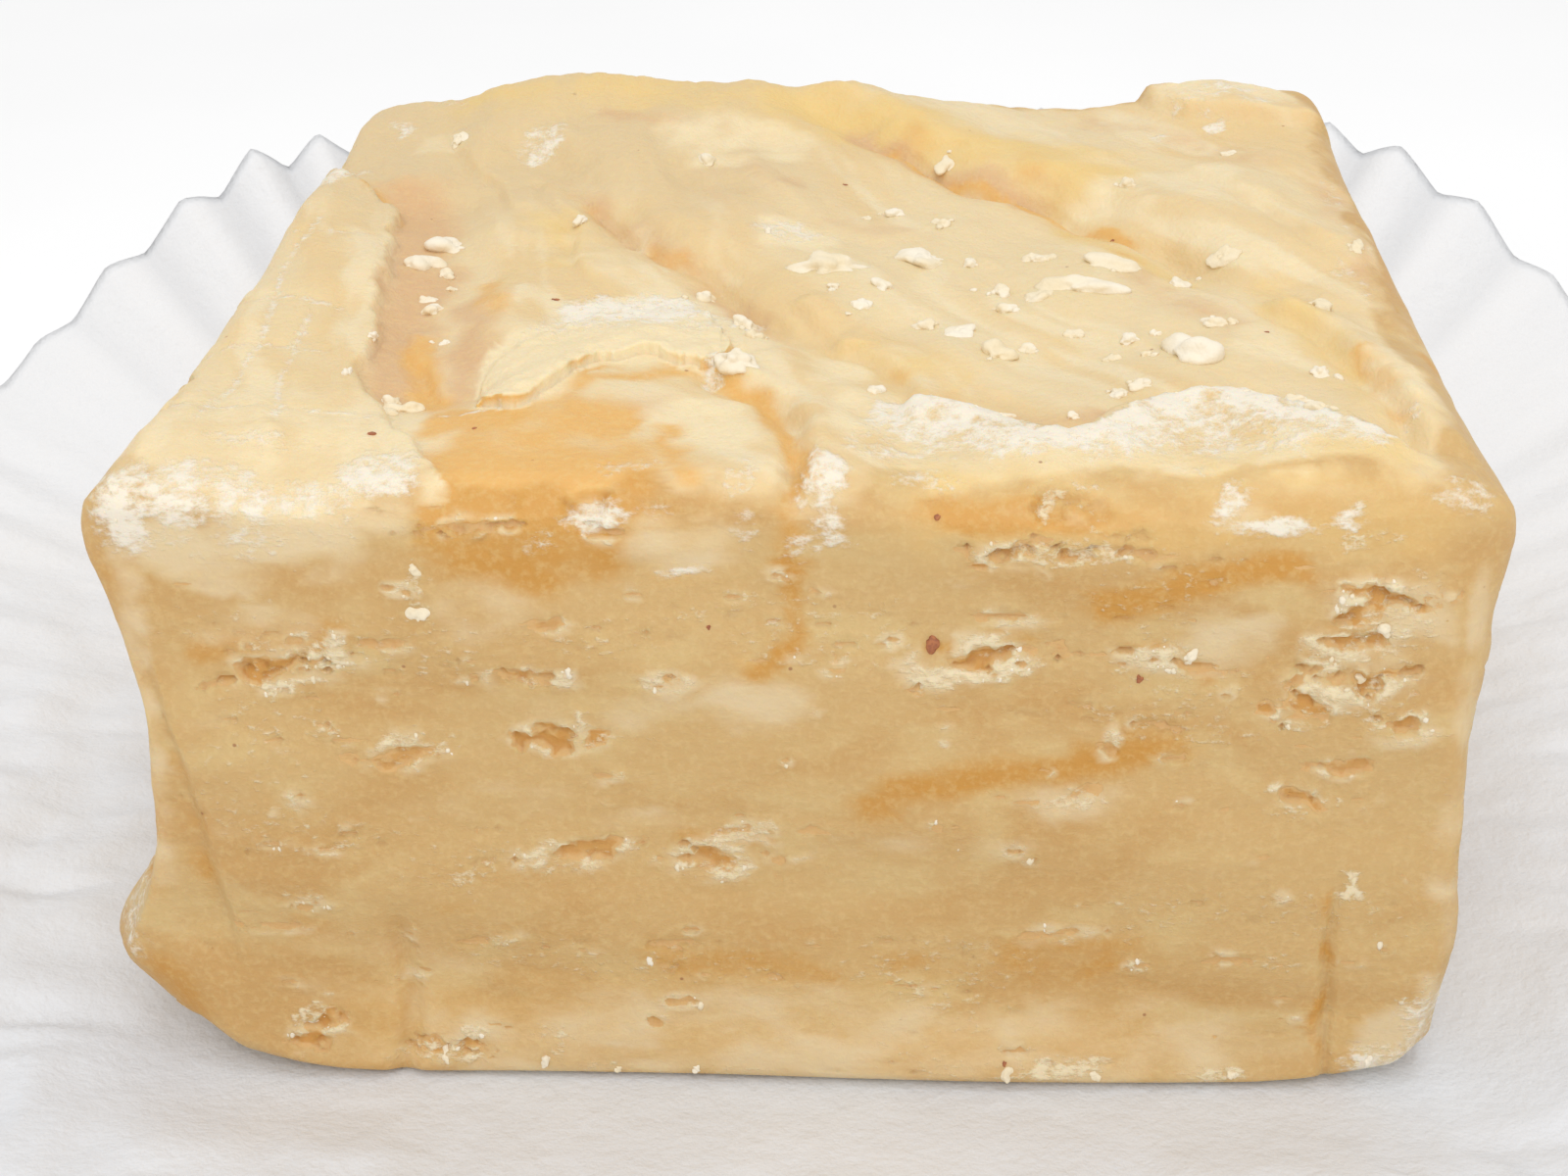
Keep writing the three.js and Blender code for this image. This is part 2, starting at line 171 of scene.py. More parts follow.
# Tears in the front face: across, up, length, height, depth and turn in degrees
FRONT_TEARS = [
    (9.3, 29, 3, 1.3, 1.4, 0), (13.6, 28.8, 3.6, 0.9, 0.9, 0), (8.2, 23.1, 5, 1.2, 1.4, 14),
    (16.4, 23.4, 4.4, 0.6, 0.8, -8), (25.8, 26.6, 4.4, 1.5, 1.3, 0), (24.6, 22.8, 4.2, 1.6, 1.3, 0),
    (22.3, 21.2, 2.6, 1.4, 1, 0), (26.8, 20.2, 2.6, 1.1, 0.9, 0), (22.8, 16, 3.8, 0.8, 0.8, 0),
    (-3.4, 12.8, 4.2, 1.4, 0.9, 0), (-10.6, 12.9, 4.2, 1, 0.8, 10), (-10.8, 19.2, 4.2, 1, 1, 0),
    (-18, 18.3, 3.4, 0.9, 0.7, 0), (-23.2, 22.8, 5, 1.6, 1.1, 12), (-12.2, 22.5, 3.2, 0.9, 0.8, 0),
    (-24, 3, 3, 1.6, 1, 30), (-17, 1.8, 3.2, 1, 0.8, 0), (24.2, 24.6, 3.4, 1, 0.9, 5),
    (-5.7, 22.3, 2.2, 0.6, 0.6, 0), (-18.5, 24.1, 2.6, 0.5, 0.5, 5), (2.7, 23, 1.6, 0.5, 0.5, -15),
    (14.2, 19, 1.2, 0.8, 0.7, 0), (-22, 13.2, 1.6, 0.5, 0.4, 0), (24.5, 18, 2.2, 0.8, 0.7, 0),
    (-13.8, 29.9, 3.4, 0.5, 0.9, 4), (-8.4, 29.9, 2.2, 0.9, 0.7, -10), (-2.5, 14.2, 3, 0.6, 0.5, 8),
    (20.5, 7.4, 2.6, 0.5, 0.4, -6), (-14.5, 8.2, 2.2, 0.6, 0.4, 8), (-25.3, 8.5, 3.4, 0.6, 0.4, 5),
    (12.5, 16.4, 2, 0.6, 0.4, 20), (-6, 4.6, 1.8, 0.5, 0.4, 0), (6.5, 31, 1, 0.5, 0.7, 0),
    (-10.4, 25.4, 1.8, 0.6, 0.6, 0), (11.5, 8.4, 3, 0.4, 0.3, 4), (-9, 17.2, 1.6, 0.4, 0.4, 0),
]
# How a tear looks: its sway, its steepness above and below, its height, raggedness, depth, nicks and rim
TEAR = {
    "sway": 0.4, "above": 1.5, "below": 0.8, "tall": 0.38,
    "ragged": 0.9, "deep": 0.32, "nick": 0.2, "rim": 0.16,
}
# Scattered tears: the shortest, their ranges up the side, of slimness and of turn, and the margin at the ends
SCATTER = {"shortest": 0.7, "up": (2.5, 29), "slimness": (0.2, 0.34), "turn": (-14, 14), "margin": 2}
# Kinds of scattered tears: how many, the longest, and how slim they are made
SMALL = (60, 1.6)
SLIM = (45, 3.4, 0.5)
UNSEEN = (80, 5.0)
# Whitish crumbly patches of the front face: across, up, half length, half height and strength
FRONT_FROST = [
    (11.8, 28.7, 4, 0.8, 0.7), (8.5, 22.5, 3, 0.4, 0.5), (25.8, 25.4, 3, 2.8, 0.6),
    (24.8, 21.2, 2.4, 1.4, 0.6), (22.8, 15.6, 2.2, 0.5, 0.5), (12.8, 16.2, 1.9, 0.8, 0.65),
    (-3.4, 12.2, 2.2, 0.6, 0.6), (-10.2, 12.5, 2.2, 0.5, 0.5), (-10, 18.7, 1.8, 0.4, 0.6),
    (-17.4, 18.2, 2.2, 0.5, 0.5), (-21.4, 23.6, 2.8, 0.8, 0.6), (-16.5, 26.6, 1, 2.2, 0.6),
    (-12, 22, 1.6, 0.5, 0.5), (-5.6, 22.1, 1.2, 0.4, 0.5), (-17.5, 1.4, 3, 1, 0.65),
    (-12.5, 2, 1.8, 1.4, 0.55), (12.5, 1.2, 2.2, 0.7, 0.9), (19.6, 0.7, 2, 0.6, 0.75),
    # The first patch here, on the lower right corner's chip, is its own pale crumble made stronger as painted
    # light against the shade it sits in
    (27.8, 1.4, 2.6, 1.6, 0.8), (25.4, 11.4, 0.45, 1.5, 1), (-24, 3.4, 1, 0.7, 0.7),
    (7, 0.9, 1.8, 0.5, 0.5), (29.2, 5.5, 0.9, 1.5, 0.8), (-10.5, 0.6, 1.6, 0.6, 0.55),
    (25.2, 29.5, 1.8, 0.6, 0.75), (-5, 0.5, 4, 0.5, 0.5), (29.6, 17, 0.5, 7, 0.6), (-24, 10.2, 3, 0.5, 0.5),
    (-15.8, 11.4, 1.4, 0.5, 0.6), (14, 8.4, 4, 0.4, 0.5), (22, 7, 3, 0.5, 0.5), (-7, 19, 0.8, 0.4, 0.5),
    (-21.6, 13.2, 0.8, 0.4, 0.6),
]
# Pale, slightly clear patches of the front face, and a band of painted light along its foot
FRONT_PALE = [
    (-2, 21, 3.2, 1.6, 0.6), (18.8, 24.4, 2.4, 1.8, 0.6), (-24, 24.6, 3.6, 1.6, 0.32),
    (12, 16, 3, 1.2, 0.6), (-13.5, 26, 3, 2, 0.35), (-4.5, 29.2, 3, 2, 0.7), (-27.4, 29.6, 3, 2.4, 0.9),
    (-22.6, 29.9, 4, 2, 0.9), (-18.6, 30.4, 2.4, 1.4, 0.7), (-25, 27.4, 2.4, 1.2, 0.45),
    (-20.8, 28, 2.2, 1, 0.4), (-15, 2.4, 4.5, 1.8, 0.5), (28.4, 2.6, 2.2, 2.6, 1), (3, 30.8, 4, 0.9, 0.5),
    (18, 30.8, 10, 1.1, 0.45), (4, 27, 5, 2, 0.12), (12, 1.4, 4, 1.2, 0.6), (-7, 14.8, 7, 0.9, 0.3),
    (-27, 17, 2.5, 5, 0.2), (-8, 20.5, 5, 1.4, 0.3), (26.5, 24, 3, 4, 0.4), (-14, 15.5, 6, 1.2, 0.22),
    (8, 13.5, 9, 0.9, 0.3), (20, 13, 4, 5, 0.12), (8, 3.8, 8, 1.2, 0.35), (-30, 19, 1.2, 12, 0.9),
    # Painted light: the wide band along the foot (2, 2.4, 26, 3.4) lifts the base out of the shade of the
    # paper and floor
    (30, 16, 1, 15, 0.8), (2, 2.4, 26, 3.4, 0.5), (-10, 1.2, 9, 1.5, 0.6), (-20, 6, 6, 4, 0.25),
]
# Caramel streaks of the front face, and lines of painted shade in its scores and its crease: trail, half
# width and strength
FRONT_CARAMEL = [
    ([(2, 15.8), (8, 17.3), (14, 18.4), (19, 18.8)], 1, 0.8),
    ([(12.5, 26), (16, 26.8), (20, 28), (23, 28.4)], 1, 0.9),
    ([(-17, 31.2), (-11, 30.4), (-6, 30.8)], 1.9, 1), ([(14, 23.8), (17, 23.6), (19, 22.6)], 0.5, 0.9),
    ([(0.4, 31.5), (0.3, 28), (0, 24.5), (-2, 22.4), (-4.5, 20)], 0.6, 0.95),
    ([(-16, 29.6), (-11, 28.8), (-7, 28.8)], 1.5, 0.85), ([(-14, 28.4), (-11, 27.6), (-8, 27.8)], 1.2, 0.7),
    ([(-28, 23.4), (-23, 24.2), (-19, 24.6)], 0.9, 0.55), ([(-25, 9), (-20, 8), (-14, 8.4)], 2.2, 0.3),
    ([(-10, 7.6), (0, 6.6), (8, 6.8), (22, 8)], 1.5, 0.4), ([(-6, 14), (-1, 13.6)], 0.6, 0.5),
    # The last streak here is painted shade in the right-hand score
    ([(5.5, 24), (9, 24.3), (11, 24.2)], 0.5, 0.5), ([(24.5, 12), (24.6, 5), (24.7, 1)], 0.3, 0.6),
    # Painted shade: in the left-hand score, then along the crease at the front's left edge
    ([(-19.4, 10), (-19.3, 5), (-19.2, 1)], 0.6, 0.4), ([(-28.6, 20), (-28.2, 15), (-28, 9)], 0.8, 0.4),
    ([(-2, 26), (-0.6, 24), (-2.2, 25.4)], 1.2, 0.4),
]
# Whitish crumbly patches of the top
TOP_FROST = [
    (-9, -7, 4.8, 2.8, 0.95), (-13, -9, 1.6, 2, 0.5), (-23.6, -24.6, 3, 1, 0.5), (-17.3, 18, 1.4, 2.4, 0.8),
    (22.8, 21.4, 1.1, 1.2, 0.8), (19, 20.2, 0.8, 1, 0.8), (-27, 22.4, 1, 1.2, 0.7),
    (-28.4, 12.5, 1, 3.5, 0.7), (-2.2, -27.4, 1, 1.6, 0.6), (26.8, -21.2, 0.8, 1.2, 0.7),
    (29, -28, 1, 1.2, 0.8), (27.4, -4, 0.7, 2.6, 0.5), (4, -21, 1.2, 2.2, 0.7), (-3.6, -15, 1.2, 1.2, 0.8),
    (-23, 27.5, 3, 1.5, 0.5), (23.5, 28.5, 3, 1, 0.6), (22.6, 23.8, 2.2, 0.9, 0.6),
    (26.4, 23.6, 1.8, 0.8, 0.5), (-15.5, -20.4, 1.6, 0.5, 0.6), (-20, -21, 2, 0.6, 0.5),
    (17.3, -26.6, 0.8, 1.6, 0.5), (-1.5, 3.6, 2.2, 2.4, 0.6), (28.6, 4, 0.9, 8, 0.5),
    (24, 25.6, 3.4, 1.8, 0.6), (-3.5, -8.2, 1, 1.2, 0.6), (-7, -26.6, 2, 1.4, 0.5),
]
# Pale patches of the top
TOP_PALE = [
    (-1.5, 3.4, 2.2, 2.6, 1), (-8.5, -11.5, 5, 3.8, 0.9), (-13, -15, 2.6, 4.5, 0.9),
    (-4.6, -19.4, 2.2, 1.8, 0.7), (16, 9, 3, 3, 0.5), (-6, 18, 5, 4.5, 0.5), (21, 11, 2.6, 3, 0.7),
    (3, -20, 2, 4, 0.7), (16, -25.6, 13, 2.4, 0.55), (-3.4, -22.4, 2.2, 2.6, 0.7), (27.5, -18, 1.6, 6, 0.6),
    (22, -12, 2, 3, 0.5), (8, -5, 6, 5, 0.2), (-24, 18, 2, 5, 0.3), (-12, 3, 3, 4, 0.4),
    (1.5, -14.5, 1.6, 3, 0.6), (26, 12, 2, 6, 0.3), (24, 26, 4.5, 3, 0.7),
]
# Caramel streaks of the top, and lines of painted shadow and shade: trail, half width and strength
TOP_CARAMEL = [
    ([(-18, -20.5), (-12, -21.4), (-7, -22)], 2.2, 0.9), ([(-17, -26), (-12, -27), (-7, -27.5)], 3, 1),
    ([(-5.2, -14.8), (-2.4, -17.5), (-0.8, -21), (0.2, -25), (0.5, -29)], 0.6, 1),
    ([(-6, -21), (-5, -25), (-4.4, -28)], 0.9, 0.8),
    ([(3.4, 21), (7, 17.4), (10.5, 14.6), (13, 12)], 1.6, 0.35),
    ([(12.6, 6.6), (15, 3.4), (17.5, -0.6)], 0.7, 0.35),
    ([(-17.5, -1), (-16.5, -6), (-15.5, -10)], 0.9, 0.6),
    ([(-19.8, -9), (-18.6, -14), (-16.8, -19)], 0.9, 0.8),
    ([(-17.6, 15.5), (-15.5, 11.5), (-12.5, 7), (-11, 4)], 0.8, 0.3),
    ([(-10, 3.5), (-7.5, 0.8), (-5.6, -1.8)], 0.7, 0.4),
    ([(26.6, -13), (27, -18), (27.6, -22.5)], 0.8, 0.9),
    ([(-27, 11.5), (-25.6, 9), (-24.5, 6.5)], 0.9, 0.8),
    ([(-25.5, -20), (-24.2, -24), (-23.5, -28)], 0.3, 0.7),
    # Painted shadow under the flake's front edge, in these two lines
    ([(-13, -19.8), (-11, -18), (-9, -16.6), (-5, -15.2)], 0.8, 0.8),
    ([(-12.9, -20.5), (-11.3, -17.6), (-10, -15.4), (-7.8, -13.9), (-6.4, -14.9), (-4.4, -14.8)], 0.4, 1),
    ([(3, -14), (6, -17), (8, -18.6)], 0.8, 0.35),
    # Painted shade along the first fold's groove
    ([(1.5, 20.4), (6, 15.4), (10, 11.6), (14.6, 7.2), (18, 3)], 0.45, 0.95),
]
# Yellow bands of the top and of the front face
TOP_AMBER = [
    ([(-26, 25.6), (-16, 25.4), (-8, 25.2), (-2, 24)], 2.8, 0.6),
    ([(-8, 25.2), (-1, 23.6), (5, 19.8), (10, 16), (14, 13), (17, 10)], 3.4, 1),
    ([(12.5, 7.6), (15, 4), (17.5, 0), (19.5, -4)], 1.2, 0.8),
    ([(3, -27.4), (12, -27.4), (22, -26.6), (28, -25)], 2, 0.8), ([(20, 26.6), (27, 25.4)], 2.2, 0.15),
    ([(2, -10), (5, -14), (8, -16)], 2.4, 0.35),
    ([(22, -2), (24.5, -10), (26.5, -18), (27.6, -24)], 1.6, 0.45),
    ([(-15, 9), (-14, 4), (-12.5, -1)], 2, 0.5),
]
FRONT_AMBER = [
    ([(3, 30.7), (10, 30.4), (17, 30.5), (25, 30.4), (29, 30.2)], 1.6, 1),
    ([(-6.5, 29.4), (-4.5, 29), (-3, 29.6)], 1.6, 0.9), ([(-3, 23.4), (-1.5, 23)], 0.6, 0.8),
    ([(-4, 14), (-2.5, 13.8)], 0.6, 0.7), ([(26, 5), (28, 2)], 1.6, 0.5),
    ([(-24, 3.4), (-12, 3), (4, 2.6), (20, 3)], 2.4, 0.65),
]
# Mauve-brown streaks of the top, some of them painted shade
TOP_MAUVE = [
    ([(-25, 15), (-22.4, 6), (-21.2, -4), (-20.4, -12), (-17.5, -20.5)], 2.3, 1),
    ([(-18, -4), (-16.8, -11), (-15.4, -19)], 1.5, 0.75), ([(-15, 22), (-10, 20.4), (-3, 19.4)], 1, 0.4),
    # Painted shade: the line along the first fold's groove, then the band on the fold's lee
    ([(0, 22.4), (4.4, 17.2), (9, 13), (14, 8.6)], 1.1, 1), ([(8, 15.2), (11.5, 12.4), (15, 10)], 1.6, 0.3),
    # Painted shade where the top turns down into the right side
    ([(27.4, 14), (28.2, 4), (28.6, -6)], 1, 0.45),
    # Painted shade along the second fold's groove
    ([(-16.5, 15), (-12.5, 8), (-9.2, 3), (-6.8, 0), (-4.6, -3.6), (-2.4, -8), (0.4, -12)], 0.9, 0.6),
    ([(14, 25), (19, 21.5), (23.6, 17), (26, 12)], 2, 0.4),
    # The first streak here is painted shade in the hollow in front of the flake
    ([(-12, -19.5), (-9, -20.5), (-5, -18)], 1.2, 0.5), ([(-6, 19), (-3, 12), (2, 6), (7, 2)], 1.6, 0.3),
    ([(16, 0), (19, -6), (20.5, -12)], 1.8, 0.35), ([(9, -19.4), (12, -21.8), (14.4, -20)], 1, 0.5),
    ([(-8, 14), (-4, 7), (-1, 1)], 3, 0.2),
]
# Whitish and caramel clouds over the front's edges and corners: middle, half sizes and strength
EDGE_FROST = [
    ((-18, -27.2, 31.8), (2.6, 2.6, 1.6), 0.9), ((-21.8, -28.6, 31), (3.4, 2, 1.3), 0.8),
    ((-26.2, -27.8, 31.2), (3.2, 2.4, 1.6), 0.75), ((-29.6, -27.8, 30), (2, 2.6, 2.4), 0.9),
    ((-24.4, -29, 29.4), (2.4, 1.2, 0.9), 0.5), ((-24, -28.8, 29.6), (6, 1.6, 2.2), 0.42),
    ((1.2, -27.4, 31.6), (1.2, 2.6, 1.4), 0.85), ((0.6, -29, 29.2), (0.8, 1.2, 1), 0.6),
    ((-8.4, -29, 30.4), (1.8, 1.2, 0.9), 0.75), ((-2, -29, 29.6), (1.2, 1.2, 1.2), 0.65),
    ((18.6, -28.6, 31.2), (0.8, 1.4, 1.1), 0.9), ((20.8, -29, 29.9), (2.4, 1.2, 0.5), 0.85),
    ((24.3, -29, 30.4), (0.6, 1.2, 0.8), 0.9), ((28.8, -27.8, 30.8), (1.5, 1.8, 1.3), 0.75),
    ((12, -28.2, 31.4), (3, 1.2, 0.6), 0.5), ((6, -27.4, 31.6), (2.6, 1.5, 0.8), 0.5),
    # The first cloud here, on the same chip, is its own pale crumble made stronger as painted light against
    # its downward-facing shade
    ((27.4, -27.6, 0.9), (2.6, 3.6, 2.2), 0.95), ((29.4, -26.8, 3.4), (2, 3.6, 3.6), 0.9),
    ((-5, -28.6, 27.4), (1.8, 1.2, 0.4), 0.7), ((-5.6, -28.8, 30.6), (1.2, 1.2, 0.7), 0.7),
    ((-3.2, -28.9, 31), (0.9, 1, 0.8), 0.8), ((2, -28.8, 29.8), (1, 1.2, 1.2), 0.75),
    ((-10.8, -29, 29.2), (1.4, 1, 0.6), 0.6), ((-33, -26, 8), (2, 3, 4), 0.55),
]
EDGE_CARAMEL = [
    ((-12.4, -26.5, 31.6), (5, 6, 2), 1), ((-9.4, -28.9, 30), (6.5, 1.8, 1.8), 0.85),
    ((-7, -26.4, 31.6), (2.2, 3.6, 1.6), 0.7), ((-4.6, -28.6, 30.8), (2.4, 1.4, 0.9), 0.6),
    ((10, -28.8, 30.4), (7, 1.4, 1), 0.8), ((0.3, -28.6, 30), (0.6, 3, 2.4), 0.85),
    ((-14, -29, 28.6), (3, 1.2, 1.4), 0.4), ((22, -28.8, 30.6), (4, 1.3, 0.6), 0.45),
    ((-31, -27.6, 4.2), (2.4, 2.4, 2.6), 0.6),
]
# The border of the top's colours, by how far a place faces up, and how it leans on the left and the right
BORDER = {"inset": 4.0, "slope": (0.68, 0.9), "flat": (0.98, 0.9), "edge_share": 0.3}
LEAN = {"left": 0.16, "left_from": (-16, -22), "right": 0.1, "right_from": (-2, 6)}

# Colours as linear light: the fudge's on its top and on its cut sides, then the other pieces'
COLOURS = {
    "cut": (0.612, 0.400, 0.166),
    "cut_light": (0.648, 0.456, 0.203),
    "cut_deep": (0.574, 0.344, 0.126),
    "top": (0.770, 0.608, 0.354),
    "top_light": (0.812, 0.672, 0.425),
    "top_deep": (0.745, 0.547, 0.280),
    "top_back": (0.690, 0.518, 0.282),
    "pale": (0.835, 0.690, 0.430),
    "pale_cut": (0.715, 0.552, 0.325),
    "amber": (0.775, 0.550, 0.218),
    "amber_cut": (0.690, 0.430, 0.155),
    "caramel": (0.745, 0.432, 0.135),
    "caramel_cut": (0.578, 0.288, 0.058),
    "mauve": (0.670, 0.430, 0.222),
    "mauve_cut": (0.560, 0.350, 0.180),
    "bloom": (0.755, 0.590, 0.295),
    "pit": (0.670, 0.415, 0.170),
    # The tears' deepest parts darkened further: painted shade in the hollow
    "pit_deep_shade": (0.580, 0.285, 0.066),
    "frost": (0.825, 0.752, 0.615),
    "flecks": (0.800, 0.670, 0.440),
    "speck": (0.250, 0.060, 0.025),
    "crumb": (0.83, 0.71, 0.49),
    "crumb_light": (0.88, 0.80, 0.65),
    "skin_bit": (0.28, 0.085, 0.035),
    "skin_bit_light": (0.44, 0.16, 0.06),
    # The paper's front colour is painted shade, a little bluer against the fudge's warm bounce; its back
    # colour is painted light
    "paper_front_shaded": (0.725, 0.74, 0.77),
    "paper_back_lit": (0.80, 0.80, 0.805),
    "paper_cloud": (0.80, 0.81, 0.83),
    "paper_fibre": (0.70, 0.70, 0.71),
    # Painted shade laid on the paper in its flutes' valleys
    "paper_valley_shade": (0.60, 0.605, 0.62),
    "floor": (0.94, 0.94, 0.94),
    "floor_light": (0.97, 0.97, 0.97),
}
# How soft the border of each streak is: the shares at which its colour starts and is full
SOFTNESS = {"amber": (-0.1, 1.0), "mauve": (0.0, 0.95), "caramel": (0.12, 0.8), "pale": (0.12, 0.8)}
# Marks that fine noise breaks up: how far it spreads them, and where their colour starts and is full
MARKS = [("pit", 0.9, 0.42, 0.58), ("flecks", 1.7, 0.5, 0.95), ("frost", 1.3, 0.28, 0.85)]

# Loose crumbs on the top: across, back, length and width
TOP_CRUMBS = [
    (0.5, -2.3, 2.8, 2), (5.6, 0.2, 2.2, 1.9), (13.6, -4.3, 2.6, 1.4), (15.5, -0.6, 2.2, 1.2),
    (18.6, -13.6, 2.1, 2), (7.4, -9.8, 1.4, 1.2), (9.2, -12.4, 1.1, 1.3), (-20.9, 3.8, 1.6, 1.5),
    (-21.2, 0.6, 1.5, 1.2), (-19.9, -0.6, 0.7, 0.8), (-19.7, -5.6, 0.9, 0.8), (-20.3, -4.2, 0.7, 0.6),
    (-19.3, -2.6, 0.5, 0.5), (-19.6, -17.6, 0.8, 0.7), (-18.7, -18.3, 1.2, 0.8), (-19.4, -18.9, 0.8, 0.6),
    (-5.9, -3.1, 1, 0.9), (21.3, -0.4, 1.4, 0.8), (18.8, -2.4, 0.9, 0.9), (25.3, -7.8, 1.2, 0.9),
    (24.2, -15.6, 0.8, 0.9), (-3.3, -14.8, 1.6, 1.4), (3.4, -4.8, 0.9, 0.8), (2.5, -7, 0.7, 0.8),
    (11.4, 0.1, 0.8, 0.8), (12.2, 0.2, 0.6, 0.8), (11.6, -5.2, 1.2, 0.9), (9.7, -6.9, 1.1, 0.8),
    (9.6, -4.4, 0.9, 0.8), (5.7, -9, 0.8, 0.9), (20, -9.3, 1.1, 0.8), (20.8, -9.4, 0.5, 0.6),
    (15.7, -10.9, 0.8, 0.6), (14.7, -13, 0.6, 0.6), (15.6, -17.5, 0.9, 0.6), (14.7, -18.3, 0.6, 0.9),
    (6.8, 16, 0.9, 1.4), (-7.1, 14.6, 0.8, 1.2), (3.9, 8, 0.8, 1), (2.4, 7.2, 0.4, 0.6),
    (6.6, 5.8, 0.7, 0.8), (-2.9, 3.4, 0.4, 0.4), (-13.6, 6.2, 0.6, 0.8), (-3.4, -8.4, 1, 1.2),
    (-2.8, -10.2, 0.6, 0.6), (17.1, 10.4, 0.8, 0.9), (23.4, 16.6, 0.7, 0.7), (1, -5, 0.5, 0.4),
    (-22.6, 19.2, 0.7, 1.2), (28.2, -0.2, 0.7, 1), (8.1, -0.3, 0.7, 0.7), (13, -9.6, 0.7, 0.7),
    (17, -10, 0.4, 0.4), (10.8, -11.4, 0.7, 0.5), (16.3, -13.1, 0.4, 0.4), (12.4, -21, 0.5, 0.5),
    (9.3, -20, 0.6, 0.5), (22.4, -19.6, 1.2, 0.8), (3.4, -17.2, 0.6, 0.9), (-18.3, -10.2, 0.4, 0.4),
    (-21.6, -11.4, 0.4, 0.5), (-21.8, -16.4, 0.4, 0.5), (23.4, -21.8, 1, 0.8),
]
# How a crumb grows from its length and width, and how far it is sunk
CRUMB = {"spread": 1.3, "tall": 0.75, "least": 0.12, "sunk": 0.12}
# Crumb knobs that stand on the front face: across, up, width
FRONT_KNOBS = [
    (-16.6, 25.6, 0.85), (-16.3, 27.8, 0.6), (-24.1, 2.9, 0.8), (17.2, 23.5, 0.7), (24.9, 22.4, 0.8),
    (25.6, 24.9, 0.7), (-17.6, 1.4, 0.8), (-12.6, 1, 0.6), (9.6, 0.7, 0.6), (13.8, 0.8, 0.5),
    (20.6, 0.6, 0.5), (-5.2, 0.5, 0.45), (-9, 0.4, 0.4), (27, 1.4, 0.5),
]
# Grains along the torn places, and how many kinds of crumb they and the rest are picked from
RIM_GRAINS = 450
CHIP_KINDS = 14

# Dark bits of peanut skin in the front face and in the top: across, up or back, width
FRONT_BITS = [
    (6.2, 23.9, 0.55), (15.2, 22.3, 0.28), (6.2, 30.3, 0.26), (16, 30.5, 0.2), (-4, 24.8, 0.18),
    (9.6, 1.2, 0.2),
]
TOP_BITS = [
    (-19.2, -23.4, 0.34), (-13.2, -5.4, 0.26), (-14.8, -22.4, 0.22), (1, 12.4, 0.2), (22.2, -10.6, 0.2),
]

# Noise by name: height, size of its features, seed (the marks of a side add the side's own) and layers
NOISE = {
    "fold_wander": (1, 5, 11, 3), "scallop": (0.5, 2.2, 12, 3), "lip_edge": (0.5, 1.8, 13, 3),
    "spread": (0.19, 3, 14, 4), "dimples": (0.1, 2.6, 15, 3), "waves": (0.15, 6, 16, 1),
    "crackle": (1, 1.5, 18, 3), "crease_sway": (0.7, 3, 19, 1), "score_sway": (0.5, 4, 20, 1),
    "chips": (1, 2.2, 25, 4), "chipped": (1, 9, 28, 1), "frost_wander": (1, 2.4, 31, 3),
    "border": (0.16, 2.2, 33, 4), "frost_sway": (0.8, 1.6, 36, 1),
    "ragged": (1, (0.9, 0.5, 1), 0, 4), "tear_wander": (1, (2.2, 1.4, 1), 1, 3),
    "frost_edge": (1, (1.6, 1, 1), 2, 3), "drag": (0.05, (13, 2.6, 1), 4, 3),
    "broken": (1, (1.6, 0.9, 1), 5, 3), "fine_drag": (0.025, (2.4, 0.9, 1), 8, 3),
    "crags": (1, (0.9, 0.6, 1), 9, 3), "nicks": (1, (1.3, 0.5, 1), 12, 3),
    "busy": (1, (8, 3.5, 1), 16, 3), "side_frost": (1, (6, 2.2, 1), 20, 3),
    "side_pale": (1, (9, 4, 1), 24, 3), "side_caramel": (1, (14, 2.4, 1), 28, 3),
    "flake_front": (0.3, 4, 81, 4), "flake_back": (0.5, 2, 84, 3), "flake_bites": (1, 2.2, 86, 1),
    "wrinkle": (0.13, 1.5, 87, 4), "colour_wander": (1, 3, 91, 3), "colour_sway": (0.6, 2, 95, 1),
    "frost_gaps": (1, 1.7, 97, 3), "lumps": (0.5, 0.5, 101, 1), "fine_lumps": (0.25, 0.22, 102, 1),
    "flute_jitter": (0.35, 0.18, 111, 1), "pleat_sway": (0.35, 0.11, 112, 1),
    "crumple": (1, 12, 113, 1), "small_crumple": (0.6, 6, 117, 1), "fine_crumple": (0.4, 3, 120, 1),
    "paper_bend_x": (1, 11, 118, 1), "paper_bend_y": (1, 11, 119, 1),
    "cut_clouds": (1, (12, 12, 4.5), 205, 4), "cut_wisps": (1, (4.5, 4.5, 1.8), 211, 4),
    "top_clouds": (1, 5, 217, 4), "top_wisps": (1, 1.9, 223, 4), "torn": (0.26, (2.4, 2.4, 1.2), 235, 4),
}
# Noise repeats after this many of its features
NOISE_TABLE = 48
# Smooth noise that pushes places about: its size, its reach and its seed
MARBLE_WARP = (6.0, 2.2, 201)
TORN_WARP = (3.0, 1.0, 231)
# How far the paper's crumples are pushed about
PAPER_BEND = 2.5


def ramp(start, end, value):
    share = np.clip((value - start) / (end - start), 0, 1)
    return share * share * (3 - 2 * share)


def bell(value, width):
    return np.exp(-((value / width) ** 2))


def peak(value, width):
    return np.exp(-(np.abs(value / width) ** 1.5))


